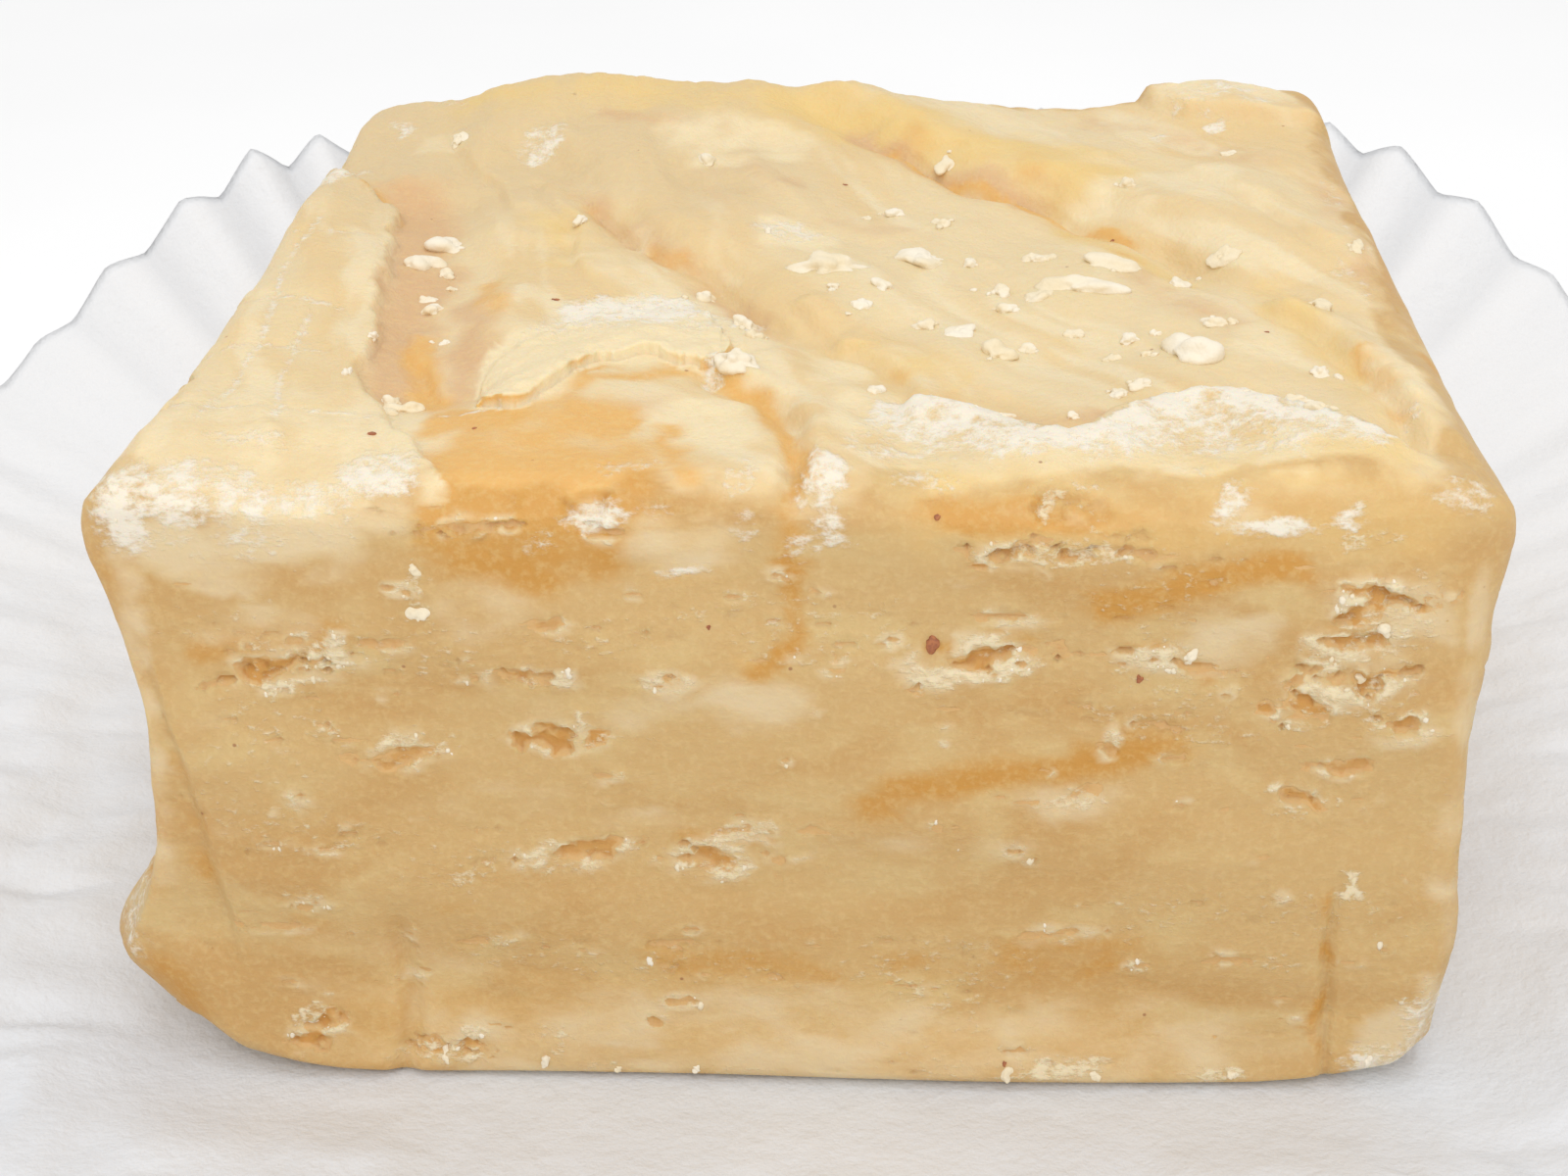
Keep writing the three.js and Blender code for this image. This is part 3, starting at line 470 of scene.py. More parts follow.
def trail_of(points, steps=8):
    """A smooth curve through a few points, as many short runs."""
    points = np.array(points, float)
    before = np.vstack([points[:1], points[:-1]])
    after = np.vstack([points[1:], points[-1:]])
    slope = (after - before) / 2
    share = np.linspace(0, 1, steps, endpoint=False)[:, None]
    runs = []
    for a, b, ma, mb in zip(points[:-1], points[1:], slope[:-1], slope[1:]):
        cubic = (2 * a - 2 * b + ma + mb) * share**3 + (-3 * a + 3 * b - 2 * ma - mb) * share**2
        runs.append(cubic + ma * share + a)
    return np.vstack(runs + [points[-1:]])


def beside(points, x, y):
    """Distance off a smooth trail, positive on the left of the way it runs, and the share along it."""
    trail = trail_of(points)
    nearest = np.full(x.shape, np.inf)
    off = np.zeros(x.shape)
    along = np.zeros(x.shape)
    runs = len(trail) - 1
    for i in range(runs):
        ax, ay = trail[i]
        rx, ry = trail[i + 1] - trail[i]
        share = np.clip(((x - ax) * rx + (y - ay) * ry) / (rx * rx + ry * ry), 0, 1)
        gx = x - ax - share * rx
        gy = y - ay - share * ry
        distance = np.hypot(gx, gy)
        closer = distance < nearest
        nearest = np.where(closer, distance, nearest)
        off = np.where(closer, np.sign(rx * gy - ry * gx) * distance, off)
        along = np.where(closer, (i + share) / runs, along)
    return off, along


def noise(places, size, seed):
    """Smooth noise from -1 to 1 with features of a given size, one size or one for each axis."""
    table = np.random.default_rng(seed).uniform(-1, 1, (NOISE_TABLE, NOISE_TABLE, NOISE_TABLE))
    places = places / np.asarray(size, float)
    cell = np.floor(places).astype(int)
    share = places - cell
    share = share**3 * (share * (share * 6 - 15) + 10)
    total = np.zeros(len(places))
    for corner in itertools.product((0, 1), repeat=3):
        weight = np.prod(np.where(corner, share, 1 - share), axis=1)
        total += weight * table[tuple(((cell + corner) % NOISE_TABLE).T)]
    return total


def rough(places, name, side_seed=0):
    """Noise of a named kind, in layers that are each half the size and height of the one before."""
    height, size, seed, layers = NOISE[name]
    size = np.asarray(size, float)
    total = np.zeros(len(places))
    for layer in range(layers):
        total += noise(places, size / 2**layer, side_seed + seed + layer) / 2**layer
    return height * total


def grains(places, size, seed):
    """Distance to the nearest of many scattered grain middles, in grain sizes."""
    table = np.random.default_rng(seed).random((NOISE_TABLE, NOISE_TABLE, NOISE_TABLE, 3))
    places = places / size
    cell = np.floor(places).astype(int)
    nearest = np.full(len(places), np.inf)
    for step in itertools.product((-1, 0, 1), repeat=3):
        near = cell + step
        middle = near + table[tuple((near % NOISE_TABLE).T)]
        nearest = np.minimum(nearest, ((places - middle) ** 2).sum(1))
    return np.sqrt(nearest)


def swell(waves, first, second, phase):
    return sum(height * np.sin(a * first + b * second + phase) for height, a, b in waves)


def fade_ends(along, share):
    return ramp(0, share, along) * ramp(0, share, 1 - along)


def fold_height(fold, x, y):
    trail, crest, lee, slope, groove = fold
    off, along = beside(trail, x, y)
    wave = np.where(off < lee, ramp(0, lee, off), bell(off - lee, slope))
    return fade_ends(along, 0.12) * (crest * wave - groove * bell(off, lee / 2))


def patches(first, second, spots):
    """The strongest of a list of soft oval spots."""
    strongest = np.zeros(first.shape)
    for a, b, half_a, half_b, strength in spots:
        distance = np.hypot((first - a) / half_a, (second - b) / half_b)
        strongest = np.maximum(strongest, strength * ramp(1.35, 0.45, distance))
    return strongest


def clouds(places, spots):
    """The strongest of a list of soft round spots in space."""
    strongest = np.zeros(len(places))
    for middle, half_sizes, strength in spots:
        distance = np.linalg.norm((places - middle) / np.array(half_sizes), axis=1)
        strongest = np.maximum(strongest, strength * ramp(1.35, 0.35, distance))
    return strongest


def streaks(first, second, lines):
    """The strongest of a list of soft streaks."""
    strongest = np.zeros(first.shape)
    for points, half_width, strength in lines:
        off, along = beside(points, first, second)
        strongest = np.maximum(strongest, strength * bell(off, half_width) * fade_ends(along, 0.15))
    return strongest


def scattered_tears(seed, reach, count, longest, slim=1.0):
    """Tears at random places of a side, more of them small than large."""
    rng = np.random.default_rng(seed)
    shortest = SCATTER["shortest"]
    tears = []
    for _ in range(count):
        length = shortest + (longest - shortest) * rng.random() ** 2.5
        deep = 0.25 + 0.18 * length
        place = (rng.uniform(-reach, reach), rng.uniform(*SCATTER["up"]))
        tall = slim * length * rng.uniform(*SCATTER["slimness"])
        tears.append((*place, length, tall, slim * deep, rng.uniform(*SCATTER["turn"])))
    return tears


ACROSS = WIDTH / 2 - SCATTER["margin"]
BACKWARD = DEPTH / 2 - SCATTER["margin"]
FRONT_SCATTER = scattered_tears(45, ACROSS, *SMALL) + scattered_tears(46, ACROSS, *SLIM)
# The cut sides: the axis along each, the way it faces, the phase of its waves, its seed and its tears
SIDES = {
    "front": {"axis": 0, "sign": -1, "phase": 0, "seed": 40, "tears": FRONT_TEARS + FRONT_SCATTER},
    "right": {"axis": 1, "sign": 1, "phase": 3, "seed": 50, "tears": scattered_tears(51, BACKWARD, *UNSEEN)},
    "back": {"axis": 0, "sign": 1, "phase": 1, "seed": 60, "tears": scattered_tears(61, ACROSS, *UNSEEN)},
    "left": {"axis": 1, "sign": -1, "phase": 2, "seed": 70, "tears": scattered_tears(71, BACKWARD, *UNSEEN)},
}


def side_weight(out, side):
    """How much a way out of the slab belongs to a side."""
    return np.maximum(0, side["sign"] * out[:, 1 - side["axis"]]) ** 2


def edge_band(upward):
    """How much a place belongs to the rounded edge between the top and a side."""
    return ramp(0.1, 0.45, upward) * ramp(0.98, 0.75, upward)


def zones(places):
    """How much a place belongs to the top, to its edge and to each side, by its nearest face."""
    x = places[:, 0]
    centred = places - [0, 0, HALF[2]]
    core = HALF - BORDER["inset"]
    out = centred - np.clip(centred, [-core[0], -core[1], -HALF[2] - 1], core)
    out /= np.maximum(np.linalg.norm(out, axis=1), 1e-6)[:, None]
    lean = LEAN["left"] * ramp(*LEAN["left_from"], x) - LEAN["right"] * ramp(*LEAN["right_from"], x)
    ragged = rough(places, "border") + lean
    upward = out[:, 2] + ragged * ramp(*BORDER["flat"], out[:, 2])
    found = {name: side_weight(out, side) for name, side in SIDES.items()}
    return {"top": ramp(*BORDER["slope"], upward), "edge": edge_band(out[:, 2]), **found}


def top_frost(places):
    """Whitish crumbly places of the top: behind the torn lip and in patches."""
    x, y = places[:, 0], places[:, 1]
    wander = rough(places, "frost_wander")
    off, along = beside(LIP["trail"], x, y)
    inward = -off + 0.7 * wander
    lip = ramp(-0.2, 0.4, inward) * (0.6 + 0.4 * bell(np.maximum(0, inward), LIP["frost_reach"]))
    lip *= ramp(*LIP["frost_from"], y + 0.9 * wander) * fade_ends(along, 0.06)
    spots = patches(x + 0.8 * wander, y + rough(places, "frost_sway"), TOP_FROST)
    return np.maximum(lip, spots)


def flow_across(x, y):
    """A number that stays the same along the way that the fudge was spread."""
    return x + y * (0.24 + 0.41 * ramp(-22, 5, x))


def top_relief(places):
    """Height of the top over its flat level: humps, folds, trough, skin, lip and fine grain."""
    x, y = places[:, 0], places[:, 1]
    height = swell(TOP_SWELLS, x, y, 0)
    for hump_x, hump_y, rise, radius in HUMPS:
        height += rise * bell(np.hypot(x - hump_x, y - hump_y), radius)
    wander = rough(places, "fold_wander")
    for fold in FOLDS + CREASES:
        height += fold_height(fold, x + 0.5 * wander, y + 0.5 * wander)
    off, along = beside(TROUGH["trail"], x, y)
    height -= TROUGH["depth"] * bell(off, TROUGH["width"]) * fade_ends(along, 0.15)
    off, along = beside(SKIN["trail"], x, y)
    raised = ramp(0, SKIN["edge"], -off + rough(places, "scallop"))
    height += SKIN["rise"] * raised * ramp(*SKIN["fades"], y)
    for crack in SKIN_CRACKS:
        gap, along = beside(crack, x + 0.25 * wander, y + 0.25 * wander)
        height -= CRACK["deep"] * bell(gap, CRACK["width"]) * fade_ends(along, 0.1) * ramp(0, 0.6, -off)
    off, along = beside(LIP["trail"], x, y)
    behind = -off + rough(places, "lip_edge")
    band = ramp(0, LIP["edge"], behind) * bell(np.maximum(0, -off - LIP["edge"]), LIP["reach"])
    height += LIP["rise"] * band * fade_ends(along, 0.1)
    flow = np.stack([flow_across(x, y), 0.25 * y, 0 * y], 1)
    height += rough(flow, "spread") + rough(places, "dimples") + rough(places, "waves")
    return height + CRACKLE * patches(x, y, TOP_ROUGH) * rough(places, "crackle")


def tear_marks(first, up, tears, flat, seed):
    """Depth, darkness and crumbly rim of a list of tears in a side."""
    depth = np.zeros(first.shape)
    pit = np.zeros(first.shape)
    rim = np.zeros(first.shape)
    ragged = rough(flat, "ragged", seed)
    wander = rough(flat, "tear_wander", seed)
    crags = 1 - 0.9 * ramp(-0.1, 0.5, rough(flat, "crags", seed))
    broken = 0.35 + 0.65 * ramp(-0.4, 0.4, rough(flat, "broken", seed))
    for a, b, length, tall, deep, turn in tears:
        turn = math.radians(turn)
        u = (first - a) * math.cos(turn) + (up - b) * math.sin(turn) + TEAR["sway"] * wander
        v = (up - b) * math.cos(turn) - (first - a) * math.sin(turn) + TEAR["sway"] * tall * wander
        undercut = v * np.where(v > 0, TEAR["above"], TEAR["below"])
        far = np.hypot(u / (0.5 * length), undercut / (TEAR["tall"] * tall)) + TEAR["ragged"] * ragged
        depth = np.maximum(depth, TEAR["deep"] * deep * ramp(1.0, 0.5, far) * crags)
        pit = np.maximum(pit, np.clip(0.55 + 0.9 * (1 - far), 0, 1) * min(1, 0.66 + 0.34 * deep))
        around = np.hypot(u / (0.6 * length), (v + 0.15 * tall) / (0.75 * tall + 0.2)) + TEAR["sway"] * wander
        rim = np.maximum(rim, ramp(1.5, 0.6, around) * ramp(0.85, 1.05, far) * min(1, 0.5 + 0.5 * deep))
    return depth, pit, rim * broken


def side_marks(places, name):
    """Relief, pits, crumbly rims and whitish patches of one cut side."""
    side = SIDES[name]
    seed = side["seed"]
    first = places[:, side["axis"]]
    up = places[:, 2]
    flat = np.stack([first, up, 0 * up], 1)
    depth, pit, rim = tear_marks(first, up, side["tears"], flat, seed)
    drag = rough(flat, "drag", seed) + rough(flat, "fine_drag", seed)
    nicks = rough(flat, "nicks", seed)
    busy = ramp(-0.1, 0.8, rough(flat, "busy", seed))
    nick = ramp(0.8, 1.1, nicks) * busy
    if name == "front":
        wander = rough(flat, "frost_edge", seed)
        frost = patches(first + 0.7 * wander, up + 0.5 * wander, FRONT_FROST)
    else:
        frost = 0.7 * ramp(0.6, 1.1, rough(flat, "side_frost", seed))
    frost = np.maximum(frost, 0.42 * busy)
    relief = drag - depth - TEAR["nick"] * nick + TEAR["rim"] * rim
    return relief, np.maximum(pit, 0.7 * nick), rim, frost


def side_form(places, name):
    """The broad form of one side, as on the part's own solid."""
    x, y, z = places.T
    side = SIDES[name]
    form = swell(SIDE_SWELLS, places[:, side["axis"]], z, side["phase"])
    if name == "front":
        form += FLARE["out"] * bell(z, FLARE["up"])
        sway = rough(places, "score_sway")
        for score_x, deep, width, top in SCORES:
            form -= deep * bell(x + sway - score_x, width * 0.6) * ramp(top, top - 4, z)
        off, along = beside(EDGE_CREASE["trail"], x + rough(places, "crease_sway"), z)
        form -= EDGE_CREASE["deep"] * ramp(0, EDGE_CREASE["edge"], -off) * fade_ends(along, 0.3)
    if name in BROW:
        form += BROW[name] * bell(z - BROW["z"], BROW["up"]) * bell(y + DEPTH / 2, BROW["along"])
    if name == "left":
        form += FOOT["out"] * bell(y - FOOT["y"], FOOT["along"]) * peak(z - FOOT["z"], FOOT["up"])
    return form


def crowded(count, half):
    """Steps from one edge to the other, closer together near both."""
    bend = math.pi / 2 * EDGE_CROWDING
    return half * np.sin(bend * np.linspace(-1, 1, count + 1)) / math.sin(bend)


def quads(*corners):
    return np.stack(corners, -1).reshape(-1, 4)


def ring_of(number):
    """The numbers of the points around the border of a grid, in order."""
    return np.concatenate([number[:-1, 0], number[-1, :-1], number[:0:-1, -1], number[0, :0:-1]])


def band(below, above):
    """Faces that join one closed ring of points to the one above it."""
    return np.stack([below, np.roll(below, -1), np.roll(above, -1), above], 1)


def slab_box():
    """Places on the plain box and the faces that join them: the top, four sides and a flat base."""
    xs = crowded(STEPS["x"], HALF[0])
    ys = crowded(STEPS["y"], HALF[1])
    zs = crowded(STEPS["z"], HALF[2]) + HALF[2]
    grid_x, grid_y = np.meshgrid(xs, ys, indexing="ij")
    top = np.stack([grid_x.ravel(), grid_y.ravel(), np.full(grid_x.size, HEIGHT)], 1)
    number = np.arange(grid_x.size).reshape(grid_x.shape)
    faces = [quads(number[1:, :-1], number[1:, 1:], number[:-1, 1:], number[:-1, :-1])]
    rim = ring_of(number)
    places = [top]
    above = rim
    count = len(top)
    for z in zs[-2::-1]:
        row = top[rim].copy()
        row[:, 2] = z
        places.append(row)
        here = count + np.arange(len(rim))
        faces.append(band(here, above))
        above = here
        count += len(rim)
    places.append(np.array([[0.0, 0.0, 0.0]]))
    base = np.stack([np.roll(above, -1), above, np.full(len(above), count)], 1)
    return np.vstack(places), np.vstack(faces), base


def edge_radius(box):
    """How round the edges are: more at the top and the foot's worn corners, less at the front left."""
    x, y, z = box.T
    reach = CORNER_RADIUS["reach"]
    corner = bell(z, reach) * bell(y + HALF[1], reach)
    left = CORNER_RADIUS["left"] * bell(x + HALF[0], reach)
    right = CORNER_RADIUS["right"] * bell(x - HALF[0], reach)
    plain = EDGE_RADIUS["base"] + (EDGE_RADIUS["top"] - EDGE_RADIUS["base"]) * z / HEIGHT
    blunt = BLUNT["less"] * bell(x + HALF[0], BLUNT["reach"]) * bell(y + HALF[1], BLUNT["reach"])
    return plain + corner * (left + right) - blunt * ramp(*BLUNT["up"], z)


def edge_chips(places):
    """Where the top's edges have crumbled away."""
    return ramp(0.1, 0.6, rough(places, "chips")) * ramp(-0.1, 0.5, rough(places, "chipped"))


def slab_surface(box):
    """The box's places moved onto the rounded, folded and torn slab."""
    centred = box - [0, 0, HALF[2]]
    radius = edge_radius(box)[:, None]
    inner = np.clip(centred, radius - HALF, HALF - radius)
    out = centred - inner
    out /= np.linalg.norm(out, axis=1)[:, None]
    surface = inner + out * radius + [0, 0, HALF[2]]
    start = surface.copy()
    low = ramp(-0.7, 0.9, box[:, 2])
    crumbly = np.zeros(len(box))
    for name, side in SIDES.items():
        weight = side_weight(out, side)
        near = weight > 1e-4
        form = side_form(start[near], name)
        relief, _, rim, _ = side_marks(start[near], name)
        surface[near, 1 - side["axis"]] += side["sign"] * weight[near] * low[near] * (form + relief)
        crumbly[near] = np.maximum(crumbly[near], weight[near] * rim)
    upward = ramp(0.2, 0.9, out[:, 2])
    near = upward > 0
    surface[near, 2] += upward[near] * top_relief(surface[near])
    crumbly[near] = np.maximum(crumbly[near], upward[near] * top_frost(surface[near]))
    surface -= out * (EDGE_CHIP * edge_band(out[:, 2]) * edge_chips(surface))[:, None]
    coarse = GRAIN["level"] - grains(surface, *GRAIN["coarse"])
    grain = coarse + GRAIN["fine_share"] * (GRAIN["level"] - grains(surface, *GRAIN["fine"]))
    surface += out * (low * crumbly * GRAIN["height"] * grain)[:, None]
    surface[:, 2] = np.maximum(surface[:, 2], 0)
    return surface


def mesh_object(name, places, *face_groups):
    """A mesh object, in metres, from places in millimetres."""
    mesh = bpy.data.meshes.new(name)
    faces = [tuple(map(int, face)) for group in face_groups for face in group]
    mesh.from_pydata((places * MM).tolist(), [], faces)
    mesh.update()
    piece = bpy.data.objects.new(name, mesh)
    bpy.context.collection.objects.link(piece)
    return piece


def shade_smooth(piece):
    piece.data.polygons.foreach_set("use_smooth", [True] * len(piece.data.polygons))


def apply_modifiers(piece):
    graph = bpy.context.evaluated_depsgraph_get()
    mesh = bpy.data.meshes.new_from_object(piece.evaluated_get(graph))
    old = piece.data
    piece.modifiers.clear()
    piece.data = mesh
    bpy.data.meshes.remove(old)


def point_values(piece, key):
    """Three numbers for each point of a piece's mesh."""
    points = piece.data.vertices
    values = np.empty(len(points) * 3, np.float32)
    points.foreach_get(key, values)
    return values.reshape(-1, 3).astype(float)


def places_of(piece):
    return point_values(piece, "co") / MM


def normals_of(piece):
    return point_values(piece, "normal")


def flake_piece():
    """The lifted flake: a thin curved chip, level with the slab behind and free of it in front."""
    along, across = FLAKE["steps"]
    u = np.linspace(0, 1, along + 1)
    front = trail_of(FLAKE["front"], 40)
    back = trail_of(FLAKE["back"], 40)
    step = np.linspace(0, len(front) - 1, along + 1)
    edge = np.arange(len(front))
    front = np.stack([np.interp(step, edge, front[:, i]) for i in (0, 1)], 1)
    back = np.stack([np.interp(step, edge, back[:, i]) for i in (0, 1)], 1)
    crumble = np.stack([u * 40, 0 * u, 0 * u], 1)
    front[:, 1] += rough(crumble, "flake_front") + 0.4 * ramp(0.3, 0.6, rough(crumble, "flake_bites"))
    back[:, 1] += rough(crumble, "flake_back")
    v = np.linspace(0, 1, across + 1)[None, :, None]
    flat = (front[:, None, :] * (1 - v) + back[:, None, :] * v).reshape(-1, 2)
    places = np.column_stack([flat, np.full(len(flat), HEIGHT)])
    ground = HEIGHT + top_relief(places)
    back_share = np.tile(np.linspace(0, 1, across + 1), along + 1)
    end_share = np.repeat(u, across + 1)
    free = ramp(0.95, 0.15, back_share) * fade_ends(end_share, 0.06)
    loose = ramp(0, 0.1, free)
    wrinkle = rough(places, "wrinkle")
    wrinkle = wrinkle + 0.12 * ramp(0.3, 0.9, back_share) * (0.4 - grains(places, *FLAKE["grain"]))
    upper = ground + FLAKE["lift"] * free + wrinkle * loose + FLAKE["above"] - FLAKE["sunk"] * (1 - loose)
    edge_share = np.clip(1 - back_share / 0.04, 0, 1)
    upper -= FLAKE["rounding"] * (1 - np.sqrt(1 - edge_share**2))
    lower = np.minimum(upper - FLAKE["thickness"], ground - FLAKE["root"])
    top = np.column_stack([flat, upper])
    under = np.column_stack([flat, lower])
    number = np.arange(len(flat)).reshape(along + 1, across + 1)
    over = quads(number[:-1, :-1], number[1:, :-1], number[1:, 1:], number[:-1, 1:])
    beneath = over[:, ::-1] + len(flat)
    ring = ring_of(number)
    wall = band(ring + len(flat), ring)
    piece = mesh_object("lifted_flake", np.vstack([top, under]), over, beneath, wall)
    piece.location.z = BASE_Z * MM
    return piece


def slab_piece():
    """The slab with its flake joined on, in one mesh."""
    box, sides, base = slab_box()
    places = slab_surface(box)
    piece = mesh_object("fudge_block", places + [0, 0, BASE_Z], sides, base)
    flake = flake_piece()
    join = piece.modifiers.new("join the flake", "BOOLEAN")
    join.operation = "UNION"
    join.solver = "MANIFOLD"
    join.object = flake
    thin = piece.modifiers.new("fewer triangles", "DECIMATE")
    thin.ratio = SLAB_TRIANGLES / (2 * len(sides) + len(base))
    apply_modifiers(piece)
    bpy.data.objects.remove(flake)
    shade_smooth(piece)
    return piece


def add_mask(piece, name, values):
    layer = piece.data.attributes.new(name, "FLOAT", "POINT")
    layer.data.foreach_set("value", np.clip(values, 0, 1).astype(np.float32))


def in_flake(x, y):
    """Inside the flake's outline, by counting crossings."""
    outline = np.vstack([trail_of(FLAKE["front"], 6), trail_of(FLAKE["back"], 6)[::-1]])
    inside = np.zeros(x.shape, bool)
    for (ax, ay), (bx, by) in zip(outline, np.roll(outline, -1, axis=0)):
        if ay == by:
            continue
        crosses = (ay > y) != (by > y)
        inside ^= crosses & (x < (bx - ax) * (y - ay) / (by - ay) + ax)
    return inside


def blend(colour, tint, share):
    """A tint laid over a colour by a share for each place."""
    return colour + (np.array(tint) - colour) * np.clip(share, 0, 1)[:, None]


def warped(places, size, reach, seed):
    """Places pushed about by smooth noise, so that what is drawn on them swirls."""
    return places + reach * np.stack([noise(places, size, seed + i) for i in range(3)], 1)


def marbling(places, top):
    """The fudge's own colour: dragged by the knife on its sides and spread on its top."""
    bent = warped(places, *MARBLE_WARP)
    x, y, _ = bent.T
    cut = blend(COLOURS["cut_deep"], COLOURS["cut"], ramp(-0.6, 0.4, rough(bent, "cut_clouds")))
    cut = blend(cut, COLOURS["cut_light"], 0.9 * ramp(0.0, 0.9, rough(bent, "cut_wisps")))
    flow = np.stack([flow_across(x, y), 0.25 * y, 0 * top], 1)
    upper = blend(COLOURS["top_deep"], COLOURS["top"], ramp(-0.6, 0.4, rough(flow, "top_clouds")))
    upper = blend(upper, COLOURS["top_light"], 0.9 * ramp(0.0, 0.9, rough(flow, "top_wisps")))
    back_left = ramp(0, 14, y) * ramp(6, -8, x)
    return blend(cut, blend(upper, COLOURS["top_back"], 0.9 * back_left), top)


def slab_shares(places, normals, zone):
    """How much of each streak and each mark there is at each place of the slab."""
    x, y, z = places.T
    top, front = zone["top"], zone["front"]
    wander = rough(places, "colour_wander")
    near_x = x + 0.6 * wander
    near_y = y + rough(places, "colour_sway")
    near_z = z + 0.5 * wander
    near = np.stack([near_x, near_y, near_z], 1)
    off, _ = beside(SKIN["trail"], x, y)
    skin = top * ramp(-0.1, 0.5, -off + rough(places, "scallop"))
    whitish = 0.05 + 0.45 * ramp(-12, -24, y)
    flake = (in_flake(x, y) | in_flake(x, y + 0.35)) * ramp(30.5, 31.2, z)
    # The flake's steep front wall takes the caramel colour as a painted shadow under its edge
    flake_wall_shadow = flake * ramp(0.8, 0.45, normals[:, 2])
    flake = flake * (1 - flake_wall_shadow)
    pale = top * np.maximum(patches(near_x, near_y, TOP_PALE), np.maximum(whitish * skin, 0.9 * flake))
    pale = np.maximum(pale, front * patches(near_x, near_z, FRONT_PALE))
    amber = top * streaks(near_x, near_y, TOP_AMBER)
    amber = np.maximum(amber, front * streaks(near_x, near_z, FRONT_AMBER))
    mauve = top * streaks(near_x, near_y, TOP_MAUVE) * (1 - 0.9 * skin)
    caramel = top * np.maximum(streaks(near_x, near_y, TOP_CARAMEL), 0.9 * flake_wall_shadow)
    caramel = np.maximum(caramel, front * streaks(near_x, near_z, FRONT_CARAMEL))
    caramel = np.maximum(caramel, clouds(near, EDGE_CARAMEL)) * (1 - 0.8 * skin)
    frost = np.maximum(top * top_frost(places), clouds(near, EDGE_FROST))
    frost = frost * (0.65 + 0.35 * ramp(-0.4, 0.3, rough(places, "frost_gaps")))
    frost = np.maximum(frost, 0.45 * flake * ramp(-14, -9, y))
    for crack in SKIN_CRACKS:
        gap, along = beside(crack, x + 0.25 * wander, y + 0.25 * wander)
        line = CRACK["frost"] * skin * bell(gap, CRACK["frost_width"])
        frost = np.maximum(frost, line * fade_ends(along, 0.1))
    rims = frost**2
    pit = np.zeros(len(x))
    flecks = 0.75 * zone["edge"] * edge_chips(places)
    for name, side in SIDES.items():
        weight = zone[name]
        _, side_pit, side_rim, side_frost = side_marks(places, name)
        flecks = np.maximum(flecks, weight * np.maximum(side_frost, 0.85 * side_rim))
        pale = np.maximum(pale, weight * 0.8 * side_rim)
        pit = np.maximum(pit, weight * side_pit)
        rims = np.maximum(rims, weight * side_rim)
        if name != "front":
            flat = np.stack([places[:, side["axis"]], z, 0 * z], 1)
            seed = side["seed"]
            pale = np.maximum(pale, weight * 0.6 * ramp(0.5, 1.1, rough(flat, "side_pale", seed)))
            caramel = np.maximum(caramel, weight * 0.6 * ramp(0.5, 1.1, rough(flat, "side_caramel", seed)))
    plain = 1 - 0.9 * flake
    colours = {"amber": amber * plain, "mauve": mauve * plain, "caramel": caramel * plain, "pale": pale}
    return colours, {"frost": frost, "flecks": flecks, "pit": pit}, rims


def dress_slab(piece):
    """The slab's colour on its points, and the masks that its material breaks up into finer detail."""
    places = places_of(piece) - [0, 0, BASE_Z]
    zone = zones(places)
    top = zone["top"]
    lit = np.maximum(top, BORDER["edge_share"] * zone["edge"])
    colours, masks, rims = slab_shares(places, normals_of(piece), zone)
    tint = marbling(places, top)
    torn = rough(warped(places, *TORN_WARP), "torn")
    for name, share in colours.items():
        share = ramp(*SOFTNESS[name], share + torn * ramp(0, 0.3, share)) * ramp(0, 0.1, share)
        cut = np.tile(COLOURS[name + "_cut"], (len(places), 1))
        tint = blend(tint, blend(cut, COLOURS[name], lit), share)
    layer = piece.data.color_attributes.new("tint", "FLOAT_COLOR", "POINT")
    layer.data.foreach_set("color", np.column_stack([tint, np.ones(len(tint))]).astype(np.float32).ravel())
    for name, values in masks.items():
        add_mask(piece, name, values)
    return rims


def chip(rng, level):
    """One crumb of about unit size: a lumpy pebble."""
    shape = bmesh.new()
    bmesh.ops.create_icosphere(shape, subdivisions=level, radius=0.5)
    places = np.array([vertex.co[:] for vertex in shape.verts])
    faces = np.array([[vertex.index for vertex in face.verts] for face in shape.faces])
    shape.free()
    shift = rng.uniform(0, 40, 3)
    lumps = 1 + rough(places + shift, "lumps") + rough(places + shift, "fine_lumps")
    return places * lumps[:, None], faces


class Heap:
    """Many crumbs gathered into one mesh."""

    def __init__(self, seed):
        self.rng = np.random.default_rng(seed)
        self.places = []
        self.faces = []
        self.count = 0
        self.kinds = {level: [chip(self.rng, level) for _ in range(CHIP_KINDS)] for level in (2, 3, 4)}

    def drop(self, middle, normal, size, level):
        """A crumb of a given length, width and height, laid flat along a surface."""
        places, faces = self.kinds[level][self.rng.integers(CHIP_KINDS)]
        normal = normal / np.linalg.norm(normal)
        first = np.cross(normal, (0.0, 1.0, 0.0) if abs(normal[1]) < 0.8 else (1.0, 0.0, 0.0))
        first /= np.linalg.norm(first)
        second = np.cross(normal, first)
        turn = self.rng.uniform(0, 2 * math.pi)
        cos, sin = math.cos(turn), math.sin(turn)
        spun = places @ np.array([[cos, -sin, 0], [sin, cos, 0], [0, 0, 1]])
        placed = middle + (spun * size) @ np.stack([first, second, normal])
        self.places.append(placed)
        self.faces.append(faces + self.count)
        self.count += len(placed)

    def piece(self, name):
        piece = mesh_object(name, np.vstack(self.places), np.vstack(self.faces))
        shade_smooth(piece)
        return piece


